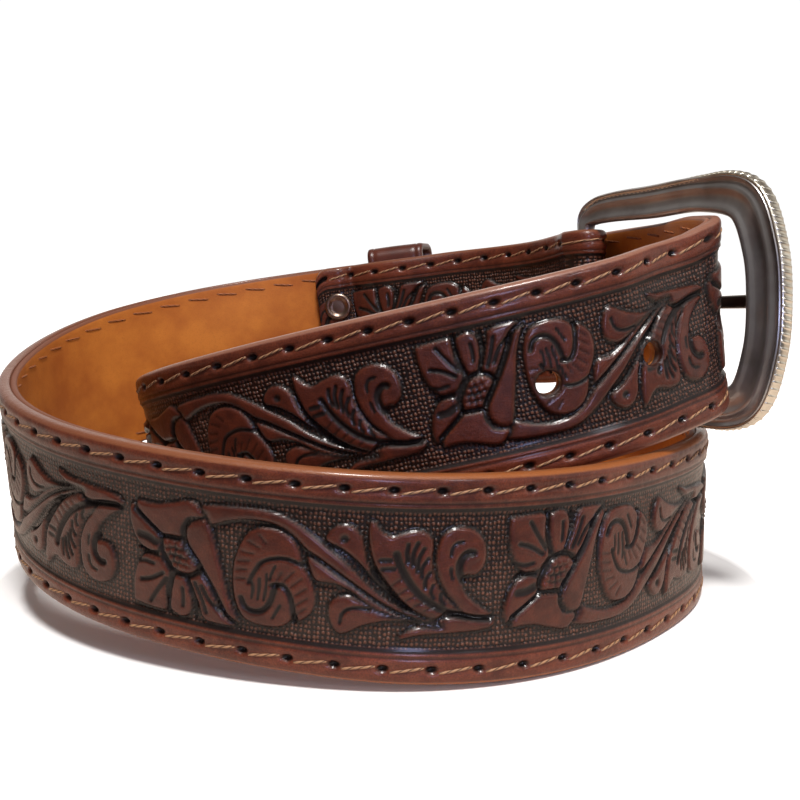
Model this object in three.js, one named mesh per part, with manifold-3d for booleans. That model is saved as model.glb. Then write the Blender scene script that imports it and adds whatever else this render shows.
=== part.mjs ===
// Tooled western leather belt, fastened and coiled in two turns on its edge.
// Millimetres, +Z up. The origin is on the table, under the middle of the coil.

import * as THREE from 'three';
import { mergeVertices } from 'three/addons/utils/BufferGeometryUtils.js';
import Module from 'manifold-3d';

const wasm = await Module();
wasm.setup();

// Leather
const STRAP_WIDTH = 38;
const MID = STRAP_WIDTH / 2;
const LEATHER = 2.4;
const LINING = 1.35;
const GAP = 0.3;
const HALF_GAP = GAP / 2;
const BORDER = 6;
const FIELD_DEPTH = 0.5;
const GROOVE_SLOPE = 0.5;
const EDGE_ROUND = 0.6;
const LINING_INSET = 0.3;
const FLAP_LENGTH = 87;
const FLAP_CORNER = 4;
const FLAP_CORNER_STEPS = [0, 0.4, 1.2, 2.4, FLAP_CORNER];
const TIP_LENGTH = 26;
const TIP_BLUNT = 0.14;
const TIP_STEPS = [TIP_LENGTH, 20, 15, 10, 6, 3, 1, 0];
const TAIL = 108;
const TAIL_SLACK = 0.15;
const TAIL_STEPS = [3, 10, 19, 34, 50, 67, 84, TAIL];
const HEEL_STEPS = [3, 9];
const LINING_FROM_HEEL = 15;
const LINING_FROM_TIP = 1;

// Punched holes, counted from the first to the one that the prong fills
const HOLE_PITCH = 21.5;
const HOLE_HEIGHT = 17.8;
const HOLE_RADIUS = 2.4;
const PRONG_HOLE = 3;
const HOLE_COUNT = 5;
const HOLE_CUT = 9;
const HOLE_SIDES = 14;

// Buckle
const BAR_RADIUS = 2.1;
const FOLD_RADIUS = BAR_RADIUS + GAP + HALF_GAP;
const RAIL_THICKNESS = 3.6;
const RAIL_CHAMFER = 1.15;
const BUCKLE_BOW = 1.2;
const BUCKLE_LENGTH = 59;
const BEAD_RADIUS = 1.15;
const BEAD_PITCH = 2.6;
const BEAD_FROM_EDGE = BEAD_RADIUS * 0.75;
const BEAD_SUNK = 0.35;
const PRONG_WIDTH = 3;
const PRONG_THICKNESS = 2.8;
const PRONG_EYE = 1.5;
const PRONG_CHAMFER = 0.7;
const PRONG_TIP = 0.6;
const PRONG_EYE_WIDTH = PRONG_WIDTH + 0.4;
const PRONG_EYE_SIDES = 16;
const SLOT_WIDTH = PRONG_WIDTH + 2;
const SLOT_LENGTH = 9;
const SLOT_DEPTH = 16;
const SLOT_INWARDS = 1.6;

// Keeper loop and snaps
const KEEPER_AT = 63;
const KEEPER_WIDTH = 16;
const KEEPER_THICKNESS = 2;
const KEEPER_HEADROOM = 2;
const KEEPER_CORNER = 1.2;
const KEEPER_INNER_CORNER = 0.3;
const SNAP_AT = 81;
const SNAP_SPREAD = 7.7;
const SNAP_RADIUS = 3.9;
const SNAP_CAP = 0.9;
const SNAP_STEM = 1.7;
const SNAP_SIDES = 12;
const SNAP_CUT = 7;

// Faceting
const CLIMB_REACH = 16;
const TANGENT_REACH = 0.2;
const LONGEST_STEP = 9.5;
const SHORTEST_STEP = 0.6;
const SHARPEST_TURN = THREE.MathUtils.degToRad(9.5);
const MIDDLE = { x: -5.512, y: -5.04 };

// The strap's bottom edge from the heel bar round both turns to the buckle's far bar.
// x to the right, y away from the viewer, z above the table, lean in degrees outwards.
const COIL = [
  { at: 'heel bar', x: 50, y: 15, z: 45.7, lean: 0 },
  { at: 'behind the buckle', x: 41, y: 32, z: 43.4, lean: 0 },
  { at: 'before the keeper', x: 26, y: 45.5, z: 41.8, lean: 0 },
  { at: 'under the keeper', x: 5.5, y: 53, z: 39.2, lean: 0 },
  { at: 'flap end', x: -20, y: 56, z: 36, lean: 0 },
  { at: 'back left', x: -45, y: 53.5, z: 32.2, lean: 0 },
  { at: 'left shoulder', x: -70, y: 41, z: 26.6, lean: 0 },
  { at: 'far left', x: -86, y: 16, z: 19.3, lean: 0.5 },
  { at: 'leftmost', x: -86.5, y: -11, z: 13.8, lean: 2.5 },
  { at: 'front left', x: -77, y: -34, z: 10, lean: 4 },
  { at: 'front left curve', x: -61, y: -50.5, z: 7.3, lean: 5.5 },
  { at: 'front', x: -40, y: -62, z: 5, lean: 6 },
  { at: 'front middle', x: -18, y: -68.5, z: 3, lean: 4.5 },
  { at: 'front nearest', x: 3, y: -70, z: 1.4, lean: 1.5 },
  { at: 'front right', x: 28, y: -62.5, z: 0.4, lean: 0 },
  { at: 'right front', x: 51, y: -43, z: 0, lean: 0 },
  { at: 'rightmost', x: 67, y: -16.5, z: 0, lean: 0 },
  { at: 'right back', x: 67.5, y: 10, z: 0, lean: 0 },
  { at: 'inner run right', x: 50.5, y: 29.5, z: 0, lean: 0 },
  { at: 'inner run', x: 19, y: 37.5, z: 0, lean: 0 },
  { at: 'inner run left', x: -16.5, y: 33, z: 0.6, lean: 2 },
  { at: 'inner bend start', x: -43, y: 17.5, z: 4, lean: 5 },
  { at: 'inner bend', x: -54, y: -3.5, z: 9.2, lean: 6.5 },
  { at: 'inner bend end', x: -44.5, y: -24.5, z: 15.2, lean: 6.5 },
  { at: 'second turn left', x: -17.5, y: -41, z: 23.3, lean: 5 },
  { at: 'second turn front', x: 18, y: -48.3, z: 31.9, lean: 2.5 },
  { at: 'second turn right', x: 49, y: -44, z: 39.3, lean: -2 },
  { at: 'second turn end', x: 58.5, y: -39.4, z: 42, lean: -6.5 },
];

// The same edge through the buckle, along the frame from its heel bar and out of its plane.
const THREADED = [
  { at: 'before the far bar', along: 49.4, out: -8.5, z: 44.3, lean: -11 },
  { at: 'inside the far bar', along: 46.3, out: -5, z: 46.1, lean: -9.5 },
  { at: 'into the window', along: 41, out: -2.9, z: 47.5, lean: -6 },
  { at: 'in the window', along: 35, out: -1.7, z: 47.6, lean: -3 },
  { at: 'before the prong', along: 30.5, out: -0.3, z: 47.4, lean: -1 },
  { at: 'at the prong', along: 25.5, out: 1.9, z: 47.1, lean: 0 },
  { at: 'past the prong', along: 19.5, out: 4.4, z: 46.8, lean: 0 },
  { at: 'before the heel', along: 12, out: 6.2, z: 46.4, lean: 0 },
];

// Distance of the flap's back from the back of the strap, at distances from the heel bar.
const FLAP = [
  { at: 'cut end', s: FLAP_LENGTH, inwards: 2.4 },
  { at: 'snaps', s: SNAP_AT, inwards: 2.4 },
  { at: 'before the snaps', s: 76.5, inwards: 2.7 },
  { at: 'off the keeper', s: 74.5, inwards: 3.6 },
  { at: 'keeper left', s: 72, inwards: 4.6 },
  { at: 'keeper right', s: 54, inwards: 4.6 },
  { at: 'past the keeper', s: 45, inwards: 3.9 },
  { at: 'middle', s: 30, inwards: 3.5 },
  { at: 'slot', s: 14, inwards: 4.4 },
  { at: 'by the bar', s: 5, inwards: 5 },
];

// Half of the buckle's rail, from the heel bar to the far bar: its middle line and width.
const RAIL = [
  { at: 'heel bar', along: 0, up: 0, width: 4.2 },
  { at: 'heel bar end', along: 0, up: 17, width: 4.2 },
  { at: 'heel corner', along: 0.9, up: 21.8, width: 5.4 },
  { at: 'rail start', along: 6, up: 23.7, width: 6.8 },
  { at: 'rail', along: 22, up: 23.8, width: 7.6 },
  { at: 'rail end', along: 37.5, up: 23.8, width: 7.8 },
  { at: 'far corner', along: 49.2, up: 21, width: 9.4 },
  { at: 'far side', along: 53.9, up: 11, width: 9.4 },
  { at: 'far bar', along: 55, up: 0, width: 9.4 },
];

// The prong's middle line from its eye to its tip on the far bar.
const PRONG = [
  { at: 'eye', along: 2.6, out: 0, width: 3.4 },
  { at: 'shank', along: 12, out: 0, width: 3.2 },
  { at: 'under the strap', along: 20, out: 0.5, width: 3 },
  { at: 'through the hole', along: 28, out: 2.6, width: 2.8 },
  { at: 'over the strap', along: 36, out: 3.9, width: 2.8 },
  { at: 'on the far bar', along: 48, out: 4.4, width: 3 },
  { at: 'tip', along: 56, out: 4.1, width: 2.4 },
];

const leatherMaterial = new THREE.MeshStandardMaterial({ color: 0x6b2f1f, roughness: 0.38, metalness: 0 });
const liningMaterial = new THREE.MeshStandardMaterial({ color: 0xb8692a, roughness: 0.6, metalness: 0 });
const keeperMaterial = new THREE.MeshStandardMaterial({ color: 0x5a291c, roughness: 0.42, metalness: 0 });
const buckleMaterial = new THREE.MeshStandardMaterial({ color: 0x8d8a84, roughness: 0.28, metalness: 1 });
const prongMaterial = new THREE.MeshStandardMaterial({ color: 0x77736d, roughness: 0.3, metalness: 1 });
const snapMaterial = new THREE.MeshStandardMaterial({ color: 0x9a958c, roughness: 0.35, metalness: 1 });

// Curves

// Natural cubic through the values, as a function of the knots' variable.
function smoothThrough(knots, values) {
  const last = knots.length - 1;
  const bend = new Array(last + 1).fill(0);
  const carry = new Array(last + 1).fill(0);
  for (let i = 1; i < last; i += 1) {
    const before = knots[i] - knots[i - 1];
    const after = knots[i + 1] - knots[i];
    const change = (values[i + 1] - values[i]) / after - (values[i] - values[i - 1]) / before;
    const pivot = 2 * (before + after) - before * carry[i - 1];
    carry[i] = after / pivot;
    bend[i] = (6 * change - before * bend[i - 1]) / pivot;
  }
  for (let i = last - 1; i > 0; i -= 1) {
    bend[i] -= carry[i] * bend[i + 1];
  }
  return (s) => {
    const i = spanOf(knots, s);
    const h = knots[i + 1] - knots[i];
    const a = (knots[i + 1] - s) / h;
    const b = 1 - a;
    const curve = ((a ** 3 - a) * bend[i] + (b ** 3 - b) * bend[i + 1]) * h * h / 6;
    return a * values[i] + b * values[i + 1] + curve;
  };
}

// Cubic that never swings past its rows, so that a level stretch stays level.
function levelThrough(knots, values) {
  const last = knots.length - 1;
  const rise = [];
  for (let i = 0; i < last; i += 1) {
    rise.push((values[i + 1] - values[i]) / (knots[i + 1] - knots[i]));
  }
  const slope = knots.map((knot, i) => {
    if (i === 0) return rise[0];
    if (i === last) return rise[last - 1];
    const product = rise[i - 1] * rise[i];
    return product > 0 ? 2 * product / (rise[i - 1] + rise[i]) : 0;
  });
  return (s) => {
    const i = spanOf(knots, s);
    const h = knots[i + 1] - knots[i];
    const t = (s - knots[i]) / h;
    const ease = t * t * (3 - 2 * t);
    const start = t * (1 - t) ** 2 * h * slope[i];
    const end = t * t * (t - 1) * h * slope[i + 1];
    return values[i] * (1 - ease) + values[i + 1] * ease + start + end;
  };
}

function spanOf(knots, s) {
  let i = 0;
  while (i < knots.length - 2 && s > knots[i + 1]) i += 1;
  return i;
}

function pathThrough(rows) {
  const knots = [0];
  for (let i = 1; i < rows.length; i += 1) {
    knots.push(knots[i - 1] + Math.hypot(rows[i].x - rows[i - 1].x, rows[i].y - rows[i - 1].y));
  }
  const column = (name, fit) => fit(knots, rows.map((row) => row[name]));
  return {
    knots,
    length: knots[knots.length - 1],
    x: column('x', smoothThrough),
    y: column('y', smoothThrough),
    z: column('z', levelThrough),
    lean: column('lean', levelThrough),
    stretches: [[0, knots[knots.length - 1]]],
  };
}

// How steeply the strap climbs around s: leather hardly bends edgewise, so this changes slowly.
function climbAt(path, s) {
  const [start, end] = path.stretches.find(([from, to]) => s <= to && s >= from) ?? path.stretches[0];
  const before = Math.max(s - CLIMB_REACH, start);
  const after = Math.min(s + CLIMB_REACH, end);
  return (path.z(after) - path.z(before)) / (after - before);
}

// The foot of the strap at s, with the directions along it, up its face and out through it.
function sectionAt(path, s, fixedUp = null) {
  const foot = new THREE.Vector3(path.x(s), path.y(s), path.z(s));
  const [before, after] = [s - TANGENT_REACH, s + TANGENT_REACH];
  const along = new THREE.Vector3(path.x(after) - path.x(before), path.y(after) - path.y(before), 0);
  along.normalize();
  if (fixedUp) {
    const out = along.clone().cross(fixedUp).normalize();
    return { foot, along, up: fixedUp.clone(), out };
  }
  along.setZ(climbAt(path, s)).normalize();
  const level = new THREE.Vector3(along.y, -along.x, 0).normalize();
  const upright = level.clone().cross(along);
  const lean = THREE.MathUtils.degToRad(path.lean(s));
  const up = upright.clone().multiplyScalar(Math.cos(lean)).addScaledVector(level, Math.sin(lean));
  const out = level.multiplyScalar(Math.cos(lean)).addScaledVector(upright, -Math.sin(lean));
  return { foot, along, up, out };
}

function placed(section, height, depth) {
  return section.foot.clone().addScaledVector(section.up, height).addScaledVector(section.out, depth);
}

// Solids

// A skin over rows of points, each row one closed outline; the ends are capped or joined.
function skin(outlines, closed, capOutline = null) {
  const count = outlines[0].length;
  const positions = [];
  outlines.forEach((outline) => outline.forEach((p) => positions.push(p.x, p.y, p.z)));
  const faces = [];
  const spans = closed ? outlines.length : outlines.length - 1;
  for (let i = 0; i < spans; i += 1) {
    const here = i * count;
    const next = ((i + 1) % outlines.length) * count;
    for (let j = 0; j < count; j += 1) {
      const k = (j + 1) % count;
      faces.push(here + j, next + j, next + k, here + j, next + k, here + k);
    }
  }
  if (!closed) {
    const lastRow = (outlines.length - 1) * count;
    const turned = THREE.ShapeUtils.isClockWise(capOutline);
    THREE.ShapeUtils.triangulateShape(capOutline, []).forEach((corners) => {
      const [a, b, c] = turned ? [...corners].reverse() : corners;
      faces.push(a, b, c, lastRow + a, lastRow + c, lastRow + b);
    });
  }
  const geometry = new THREE.BufferGeometry();
  geometry.setAttribute('position', new THREE.Float32BufferAttribute(positions, 3));
  geometry.setIndex(faces);
  return facingOut(geometry);
}

function facingOut(geometry) {
  const p = geometry.attributes.position;
  const index = geometry.index.array;
  const [a, b, c] = [new THREE.Vector3(), new THREE.Vector3(), new THREE.Vector3()];
  let volume = 0;
  for (let i = 0; i < index.length; i += 3) {
    a.fromBufferAttribute(p, index[i]);
    b.fromBufferAttribute(p, index[i + 1]);
    c.fromBufferAttribute(p, index[i + 2]);
    volume += a.dot(b.cross(c));
  }
  if (volume < 0) {
    for (let i = 0; i < index.length; i += 3) {
      [index[i + 1], index[i + 2]] = [index[i + 2], index[i + 1]];
    }
  }
  return geometry;
}

function solidOf(geometry) {
  const bare = geometry.clone();
  bare.deleteAttribute('normal');
  bare.deleteAttribute('uv');
  const merged = mergeVertices(bare, 1e-4);
  return new wasm.Manifold(new wasm.Mesh({
    numProp: 3,
    vertProperties: new Float32Array(merged.attributes.position.array),
    triVerts: new Uint32Array(merged.index.array),
  }));
}

function geometryOf(solid) {
  const mesh = solid.getMesh();
  const geometry = new THREE.BufferGeometry();
  geometry.setAttribute('position', new THREE.BufferAttribute(mesh.vertProperties, 3));
  geometry.setIndex(new THREE.BufferAttribute(mesh.triVerts, 1));
  return geometry;
}

function without(solid, cutters) {
  return cutters.reduce((rest, cutter) => rest.subtract(cutter), solid);
}

// A round rod centred on a point of a section, along the section's outward direction.
function rodThrough(section, height, depth, radius, length) {
  const rod = new THREE.CylinderGeometry(radius, radius, length, HOLE_SIDES);
  const turn = new THREE.Quaternion().setFromUnitVectors(new THREE.Vector3(0, 1, 0), section.out);
  rod.applyQuaternion(turn);
  const centre = placed(section, height, depth);
  rod.translate(centre.x, centre.y, centre.z);
  return rod;
}

// The buckle's own axes: from the heel bar to the far bar, out of its face, and up the bar
const heel = COIL[0];
const farBar = { x: 76, y: -28, rise: 2.6 };
const buckleAlong = new THREE.Vector3(farBar.x - heel.x, farBar.y - heel.y, farBar.rise).normalize();
const buckleOut = new THREE.Vector3(-buckleAlong.y, buckleAlong.x, 0).normalize();
const buckleUp = buckleAlong.clone().cross(buckleOut);
const barFoot = new THREE.Vector3(heel.x, heel.y, heel.z).addScaledVector(buckleOut, -FOLD_RADIUS);

function inBuckle(along, out, up) {
  return barFoot.clone().addScaledVector(buckleAlong, along).addScaledVector(buckleOut, out)
    .addScaledVector(buckleUp, MID + up);
}

// The strap's whole path: flap end, fold round the heel bar, two turns, buckle, tail
const turns = pathThrough(COIL);

const rowBeside = (s, outwards) => {
  const p = placed(sectionAt(turns, s), 0, outwards);
  return { x: p.x, y: p.y, z: p.z, lean: 0 };
};

const flapRows = FLAP.map(({ s, inwards }) => rowBeside(s, -inwards));

const foldRows = [-90, -45, 0, 45].map((degrees) => {
  const angle = THREE.MathUtils.degToRad(degrees);
  const p = inBuckle(FOLD_RADIUS * Math.cos(angle), FOLD_RADIUS * Math.sin(angle), -MID);
  return { x: p.x, y: p.y, z: p.z, lean: 0 };
});

const threadedRows = THREADED.map(({ along, out, z, lean }) => {
  const p = inBuckle(along, out, -MID);
  return { x: p.x, y: p.y, z, lean };
});

const tailOffset = HALF_GAP + LEATHER + GAP + LINING + HALF_GAP + TAIL_SLACK;
const tailRows = TAIL_STEPS.map((s) => rowBeside(s, tailOffset));
const coilRows = [heel, ...HEEL_STEPS.map((s) => rowBeside(s, 0)), ...COIL.slice(1)];

const strapPath = pathThrough([...flapRows, ...foldRows, ...coilRows, ...threadedRows, ...tailRows]);
const foldStart = strapPath.knots[flapRows.length];
const heelAt = strapPath.knots[flapRows.length + foldRows.length];
const prongRow = THREADED.findIndex((row) => row.at === 'at the prong');
const prongAt = strapPath.knots[flapRows.length + foldRows.length + coilRows.length + prongRow];
strapPath.stretches = [[0, foldStart], [heelAt, strapPath.length]];

function strapSection(s) {
  const folded = s >= foldStart && s <= heelAt;
  return sectionAt(strapPath, s, folded ? buckleUp : null);
}

// Places along the strap, close together where it bends and through every place that is asked for
function stationsThrough(wanted) {
  const stations = [];
  for (let i = 0; i < wanted.length - 1; i += 1) {
    const to = wanted[i + 1];
    let s = wanted[i];
    while (s < to) {
      stations.push(s);
      const here = sectionAt(strapPath, s).along;
      let step = Math.min(LONGEST_STEP, to - s);
      while (step > SHORTEST_STEP && here.angleTo(sectionAt(strapPath, s + step).along) > SHARPEST_TURN) {
        step *= 0.8;
      }
      s = s + step * 1.4 > to ? to : s + step;
    }
  }
  stations.push(wanted[wanted.length - 1]);
  return stations;
}

// The strap narrows at the flap's rounded corners and at the pointed tip.
function halfWidthAt(s) {
  const fromTip = strapPath.length - s;
  if (fromTip < TIP_LENGTH) {
    const round = Math.sqrt(1 - ((TIP_LENGTH - fromTip) / TIP_LENGTH) ** 2);
    return MID * (TIP_BLUNT + (1 - TIP_BLUNT) * round);
  }
  if (s < FLAP_CORNER) {
    return MID - FLAP_CORNER + Math.sqrt(FLAP_CORNER ** 2 - (FLAP_CORNER - s) ** 2);
  }
  return MID;
}

// Section outlines as height up the strap and depth outwards from the glue line
function leatherOutline() {
  const face = HALF_GAP + LEATHER;
  const field = face - FIELD_DEPTH;
  const top = STRAP_WIDTH;
  const glued = EDGE_ROUND / 2;
  return [
    [glued, HALF_GAP], [top - glued, HALF_GAP],
    [top, HALF_GAP + glued], [top, face - EDGE_ROUND], [top - EDGE_ROUND, face],
    [top - BORDER + GROOVE_SLOPE, face], [top - BORDER, field],
    [BORDER, field], [BORDER - GROOVE_SLOPE, face],
    [EDGE_ROUND, face], [0, face - EDGE_ROUND], [0, HALF_GAP + glued],
  ];
}

function liningOutline() {
  const back = -HALF_GAP - LINING;
  const top = STRAP_WIDTH;
  return [
    [LINING_INSET, -HALF_GAP], [top - LINING_INSET, -HALF_GAP], [top - LINING_INSET, back + EDGE_ROUND],
    [top - EDGE_ROUND, back], [EDGE_ROUND, back], [LINING_INSET, back + EDGE_ROUND],
  ];
}

function strapLength(outline, from, to) {
  const rows = stations.filter((s) => s >= from && s <= to).map((s) => {
    const section = strapSection(s);
    const narrowed = halfWidthAt(s) / MID;
    return outline.map(([height, depth]) => placed(section, MID + (height - MID) * narrowed, depth));
  });
  const cap = outline.map(([height, depth]) => new THREE.Vector2(height, depth));
  return skin(rows, false, cap);
}

// Both layers of leather share their stations, so that their facets lie flat on each other.
const liningStart = heelAt + LINING_FROM_HEEL;
const liningEnd = strapPath.length - LINING_FROM_TIP;
const tipStations = TIP_STEPS.map((d) => strapPath.length - d);
const stations = stationsThrough([...FLAP_CORNER_STEPS, foldStart, heelAt, liningStart, ...tipStations]);

// A rectangle with its four corners cut off
function octagon(half, thick, corner) {
  return [
    [-half, corner - thick], [corner - half, -thick], [half - corner, -thick], [half, corner - thick],
    [half, thick - corner], [half - corner, thick], [corner - half, thick], [-half, thick - corner],
  ];
}

// Buckle frame

function frameGeometry() {
  const upper = RAIL.map(({ along, up, width }) => new THREE.Vector3(along, up, width));
  const lower = upper.slice(1, -1).reverse().map((p) => new THREE.Vector3(p.x, -p.y, p.z));
  const line = new THREE.CatmullRomCurve3([...upper, ...lower], true, 'centripetal');
  const rows = railStations(line).map((t) => {
    const here = line.getPoint(t);
    const tangent = line.getTangent(t).setZ(0).normalize();
    const side = new THREE.Vector2(-tangent.y, tangent.x);
    const half = here.z / 2;
    const thick = RAIL_THICKNESS / 2 + Math.max(0, BAR_RADIUS - half) * 0.5;
    const middle = bowAt(here.x);
    return octagon(half, thick, RAIL_CHAMFER).map(([across, out]) => (
      inBuckle(here.x + side.x * across, out + middle, here.y + side.y * across)));
  });
  return skin(rows, true);
}

// Even steps on the rails, none wasted on the straight heel bar
function railStations(line) {
  const stations = [];
  const steps = 64;
  for (let i = 0; i < steps; i += 1) {
    const t = i / steps;
    const onBar = line.getPoint(t).x < 0.2;
    if (!onBar || i % 2 === 0) stations.push(t);
  }
  return stations;
}

// The frame curves with the waist, so that its middle stands proud of its two bars.
function bowAt(along) {
  const half = BUCKLE_LENGTH / 2;
  return BUCKLE_BOW * Math.max(0, 1 - ((along - half) / half) ** 2);
}

// Rope edge: beads along the outer rim of the two rails and the far bar
function ropeBeads() {
  const upper = RAIL.slice(2).map(({ along, up, width }) => new THREE.Vector3(along, up, width));
  const lower = upper.slice(0, -1).reverse().map((p) => new THREE.Vector3(p.x, -p.y, p.z));
  const line = new THREE.CatmullRomCurve3([...upper, ...lower], false, 'centripetal');
  const count = Math.round(line.getLength() / BEAD_PITCH);
  const beads = [];
  for (let i = 1; i < count; i += 1) {
    const here = line.getPointAt(i / count);
    const tangent = line.getTangentAt(i / count).setZ(0).normalize();
    const across = here.z / 2 - BEAD_FROM_EDGE;
    const out = bowAt(here.x) + RAIL_THICKNESS / 2 - BEAD_SUNK;
    const centre = inBuckle(here.x - tangent.y * across, out, here.y + tangent.x * across);
    const bead = new THREE.OctahedronGeometry(BEAD_RADIUS, 0);
    bead.translate(centre.x, centre.y, centre.z);
    beads.push(solidOf(bead));
  }
  return beads;
}

// Prong: a shank with an eye round the heel bar; slack makes it fat for cutting its hole
function prongSolid(slack) {
  const knots = PRONG.map((row) => row.along);
  const outAt = smoothThrough(knots, PRONG.map((row) => row.out));
  const widthAt = levelThrough(knots, PRONG.map((row) => row.width));
  const steps = 13;
  const rows = [];
  for (let i = 0; i <= steps; i += 1) {
    const along = knots[0] + (knots[knots.length - 1] - knots[0]) * i / steps;
    const blunt = i === steps ? PRONG_TIP : 1;
    const half = widthAt(along) / 2 * blunt + slack;
    const thick = PRONG_THICKNESS / 2 * blunt + slack;
    rows.push(octagon(half, thick, PRONG_CHAMFER).map(([up, out]) => (
      inBuckle(along, outAt(along) + out, up))));
  }
  const cap = octagon(PRONG_WIDTH, PRONG_THICKNESS, PRONG_CHAMFER);
  const shank = solidOf(skin(rows, false, cap.map(([x, y]) => new THREE.Vector2(x, y))));
  return shank.add(eyeSolid(slack)).subtract(eyeHollow(slack));
}

function eyeSolid(slack) {
  const inner = FOLD_RADIUS - slack;
  const outer = BAR_RADIUS + GAP + PRONG_EYE + slack;
  const half = PRONG_EYE_WIDTH / 2 + slack;
  const ring = [[inner, -half], [outer, -half], [outer, half], [inner, half], [inner, -half]];
  return onHeelBar(new THREE.LatheGeometry(ring.map(([r, h]) => new THREE.Vector2(r, h)), PRONG_EYE_SIDES));
}

function eyeHollow(slack) {
  const inner = FOLD_RADIUS - slack;
  return onHeelBar(new THREE.CylinderGeometry(inner, inner, PRONG_EYE_WIDTH * 2, PRONG_EYE_SIDES));
}

function onHeelBar(geometry) {
  geometry.applyMatrix4(new THREE.Matrix4().makeBasis(buckleAlong, buckleUp, buckleOut.clone().negate()));
  const centre = inBuckle(0, 0, 0);
  geometry.translate(centre.x, centre.y, centre.z);
  return solidOf(geometry);
}

// The slot in the fold that lets the prong swing on the heel bar
function foldSlot() {
  const box = new THREE.BoxGeometry(SLOT_LENGTH * 2, SLOT_DEPTH, SLOT_WIDTH);
  const end = new THREE.CylinderGeometry(SLOT_WIDTH / 2, SLOT_WIDTH / 2, SLOT_DEPTH, 16);
  end.translate(-SLOT_LENGTH, 0, 0);
  const cutter = geometryOf(solidOf(box).add(solidOf(end)));
  const centre = inBuckle(0, -SLOT_INWARDS, 0);
  cutter.applyMatrix4(new THREE.Matrix4().makeBasis(buckleAlong, buckleOut, buckleUp));
  cutter.translate(centre.x, centre.y, centre.z);
  return solidOf(cutter);
}

// Keeper: a flat leather loop round the strap and its tail, its inner run under the flap
function keeperGeometry() {
  const inside = -HALF_GAP - LINING - GAP - KEEPER_THICKNESS;
  const outside = tailOffset + HALF_GAP + LEATHER + GAP + KEEPER_THICKNESS;
  const low = -GAP * 2 - KEEPER_THICKNESS;
  const high = STRAP_WIDTH + KEEPER_HEADROOM + KEEPER_THICKNESS;
  const loop = (inset, cut) => [
    [low + inset + cut, inside + inset], [high - inset - cut, inside + inset],
    [high - inset, inside + inset + cut], [high - inset, outside - inset - cut],
    [high - inset - cut, outside - inset], [low + inset + cut, outside - inset],
    [low + inset, outside - inset - cut], [low + inset, inside + inset + cut],
  ];
  const steps = 4;
  const rings = (outline) => {
    const rows = [];
    for (let i = 0; i <= steps; i += 1) {
      const section = sectionAt(turns, KEEPER_AT + KEEPER_WIDTH * (i / steps - 0.5));
      rows.push(outline.map(([height, depth]) => placed(section, height, depth)));
    }
    return rows;
  };
  const outer = rings(loop(0, KEEPER_CORNER));
  const inner = rings(loop(KEEPER_THICKNESS, KEEPER_INNER_CORNER)).reverse();
  return skin([...outer, ...inner], true);
}

// Snap: a domed cap on the flap's face with a stem through the flap and the lining
function snapGeometry(height) {
  const section = sectionAt(turns, SNAP_AT);
  const seat = -snapInwards - HALF_GAP - LEATHER - GAP;
  const rim = seat - SNAP_CAP / 2;
  const crown = seat - SNAP_CAP;
  const stemTop = -HALF_GAP - GAP;
  const profile = [
    [0, stemTop], [SNAP_STEM, stemTop], [SNAP_STEM, seat],
    [SNAP_RADIUS, seat], [SNAP_RADIUS, rim],
    [SNAP_RADIUS * 0.75, crown], [SNAP_RADIUS * 0.55, crown],
    [SNAP_RADIUS * 0.4, rim], [0, rim],
  ];
  const cap = new THREE.LatheGeometry(profile.map(([r, h]) => new THREE.Vector2(r, h)), SNAP_SIDES);
  const turn = new THREE.Quaternion().setFromUnitVectors(new THREE.Vector3(0, 1, 0), section.out);
  cap.applyQuaternion(turn);
  const centre = placed(section, height, 0);
  cap.translate(centre.x, centre.y, centre.z);
  return geometryOf(solidOf(facingOut(cap)));
}

// Cutters shared by the leather and the lining
const holeCutters = [];
for (let i = 0; i < HOLE_COUNT; i += 1) {
  if (i !== PRONG_HOLE) {
    const section = strapSection(prongAt + (i - PRONG_HOLE) * HOLE_PITCH);
    holeCutters.push(solidOf(rodThrough(section, HOLE_HEIGHT, 0, HOLE_RADIUS, HOLE_CUT)));
  }
}
const prongCutter = prongSolid(GAP);
const snapHeights = [MID + SNAP_SPREAD, MID - SNAP_SPREAD];
const snapInwards = FLAP.find((row) => row.at === 'snaps').inwards;
const snapCutters = snapHeights.map((height) => {
  const section = sectionAt(turns, SNAP_AT);
  const middle = -snapInwards - LEATHER / 2;
  return solidOf(rodThrough(section, height, middle, SNAP_STEM + GAP + HALF_GAP, SNAP_CUT));
});

// Assembly
const belt = new THREE.Group();

function addPiece(name, geometry, material) {
  const mesh = new THREE.Mesh(geometry, material);
  mesh.name = name;
  belt.add(mesh);
}

const strapBody = solidOf(strapLength(leatherOutline(), 0, strapPath.length));
const liningBody = solidOf(strapLength(liningOutline(), liningStart, liningEnd));
const frameBody = ropeBeads().reduce((body, bead) => body.add(bead), solidOf(frameGeometry()));

const strapCutters = [...holeCutters, ...snapCutters, prongCutter, foldSlot()];
const liningCutters = [...holeCutters, ...snapCutters, prongCutter];

addPiece('strap', geometryOf(without(strapBody, strapCutters)), leatherMaterial);
addPiece('lining', geometryOf(without(liningBody, liningCutters)), liningMaterial);
addPiece('keeper', keeperGeometry(), keeperMaterial);
addPiece('buckle_frame', geometryOf(frameBody), buckleMaterial);
addPiece('prong', geometryOf(prongSolid(0)), prongMaterial);
addPiece('snap_upper', snapGeometry(snapHeights[0]), snapMaterial);
addPiece('snap_lower', snapGeometry(snapHeights[1]), snapMaterial);
belt.position.set(-MIDDLE.x, -MIDDLE.y, 0);

export default belt;
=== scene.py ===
# Tooled western leather belt, fastened and coiled in two turns on its edge.
# Shapes are worked out in millimetres and handed to Blender in metres.
import math

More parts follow.
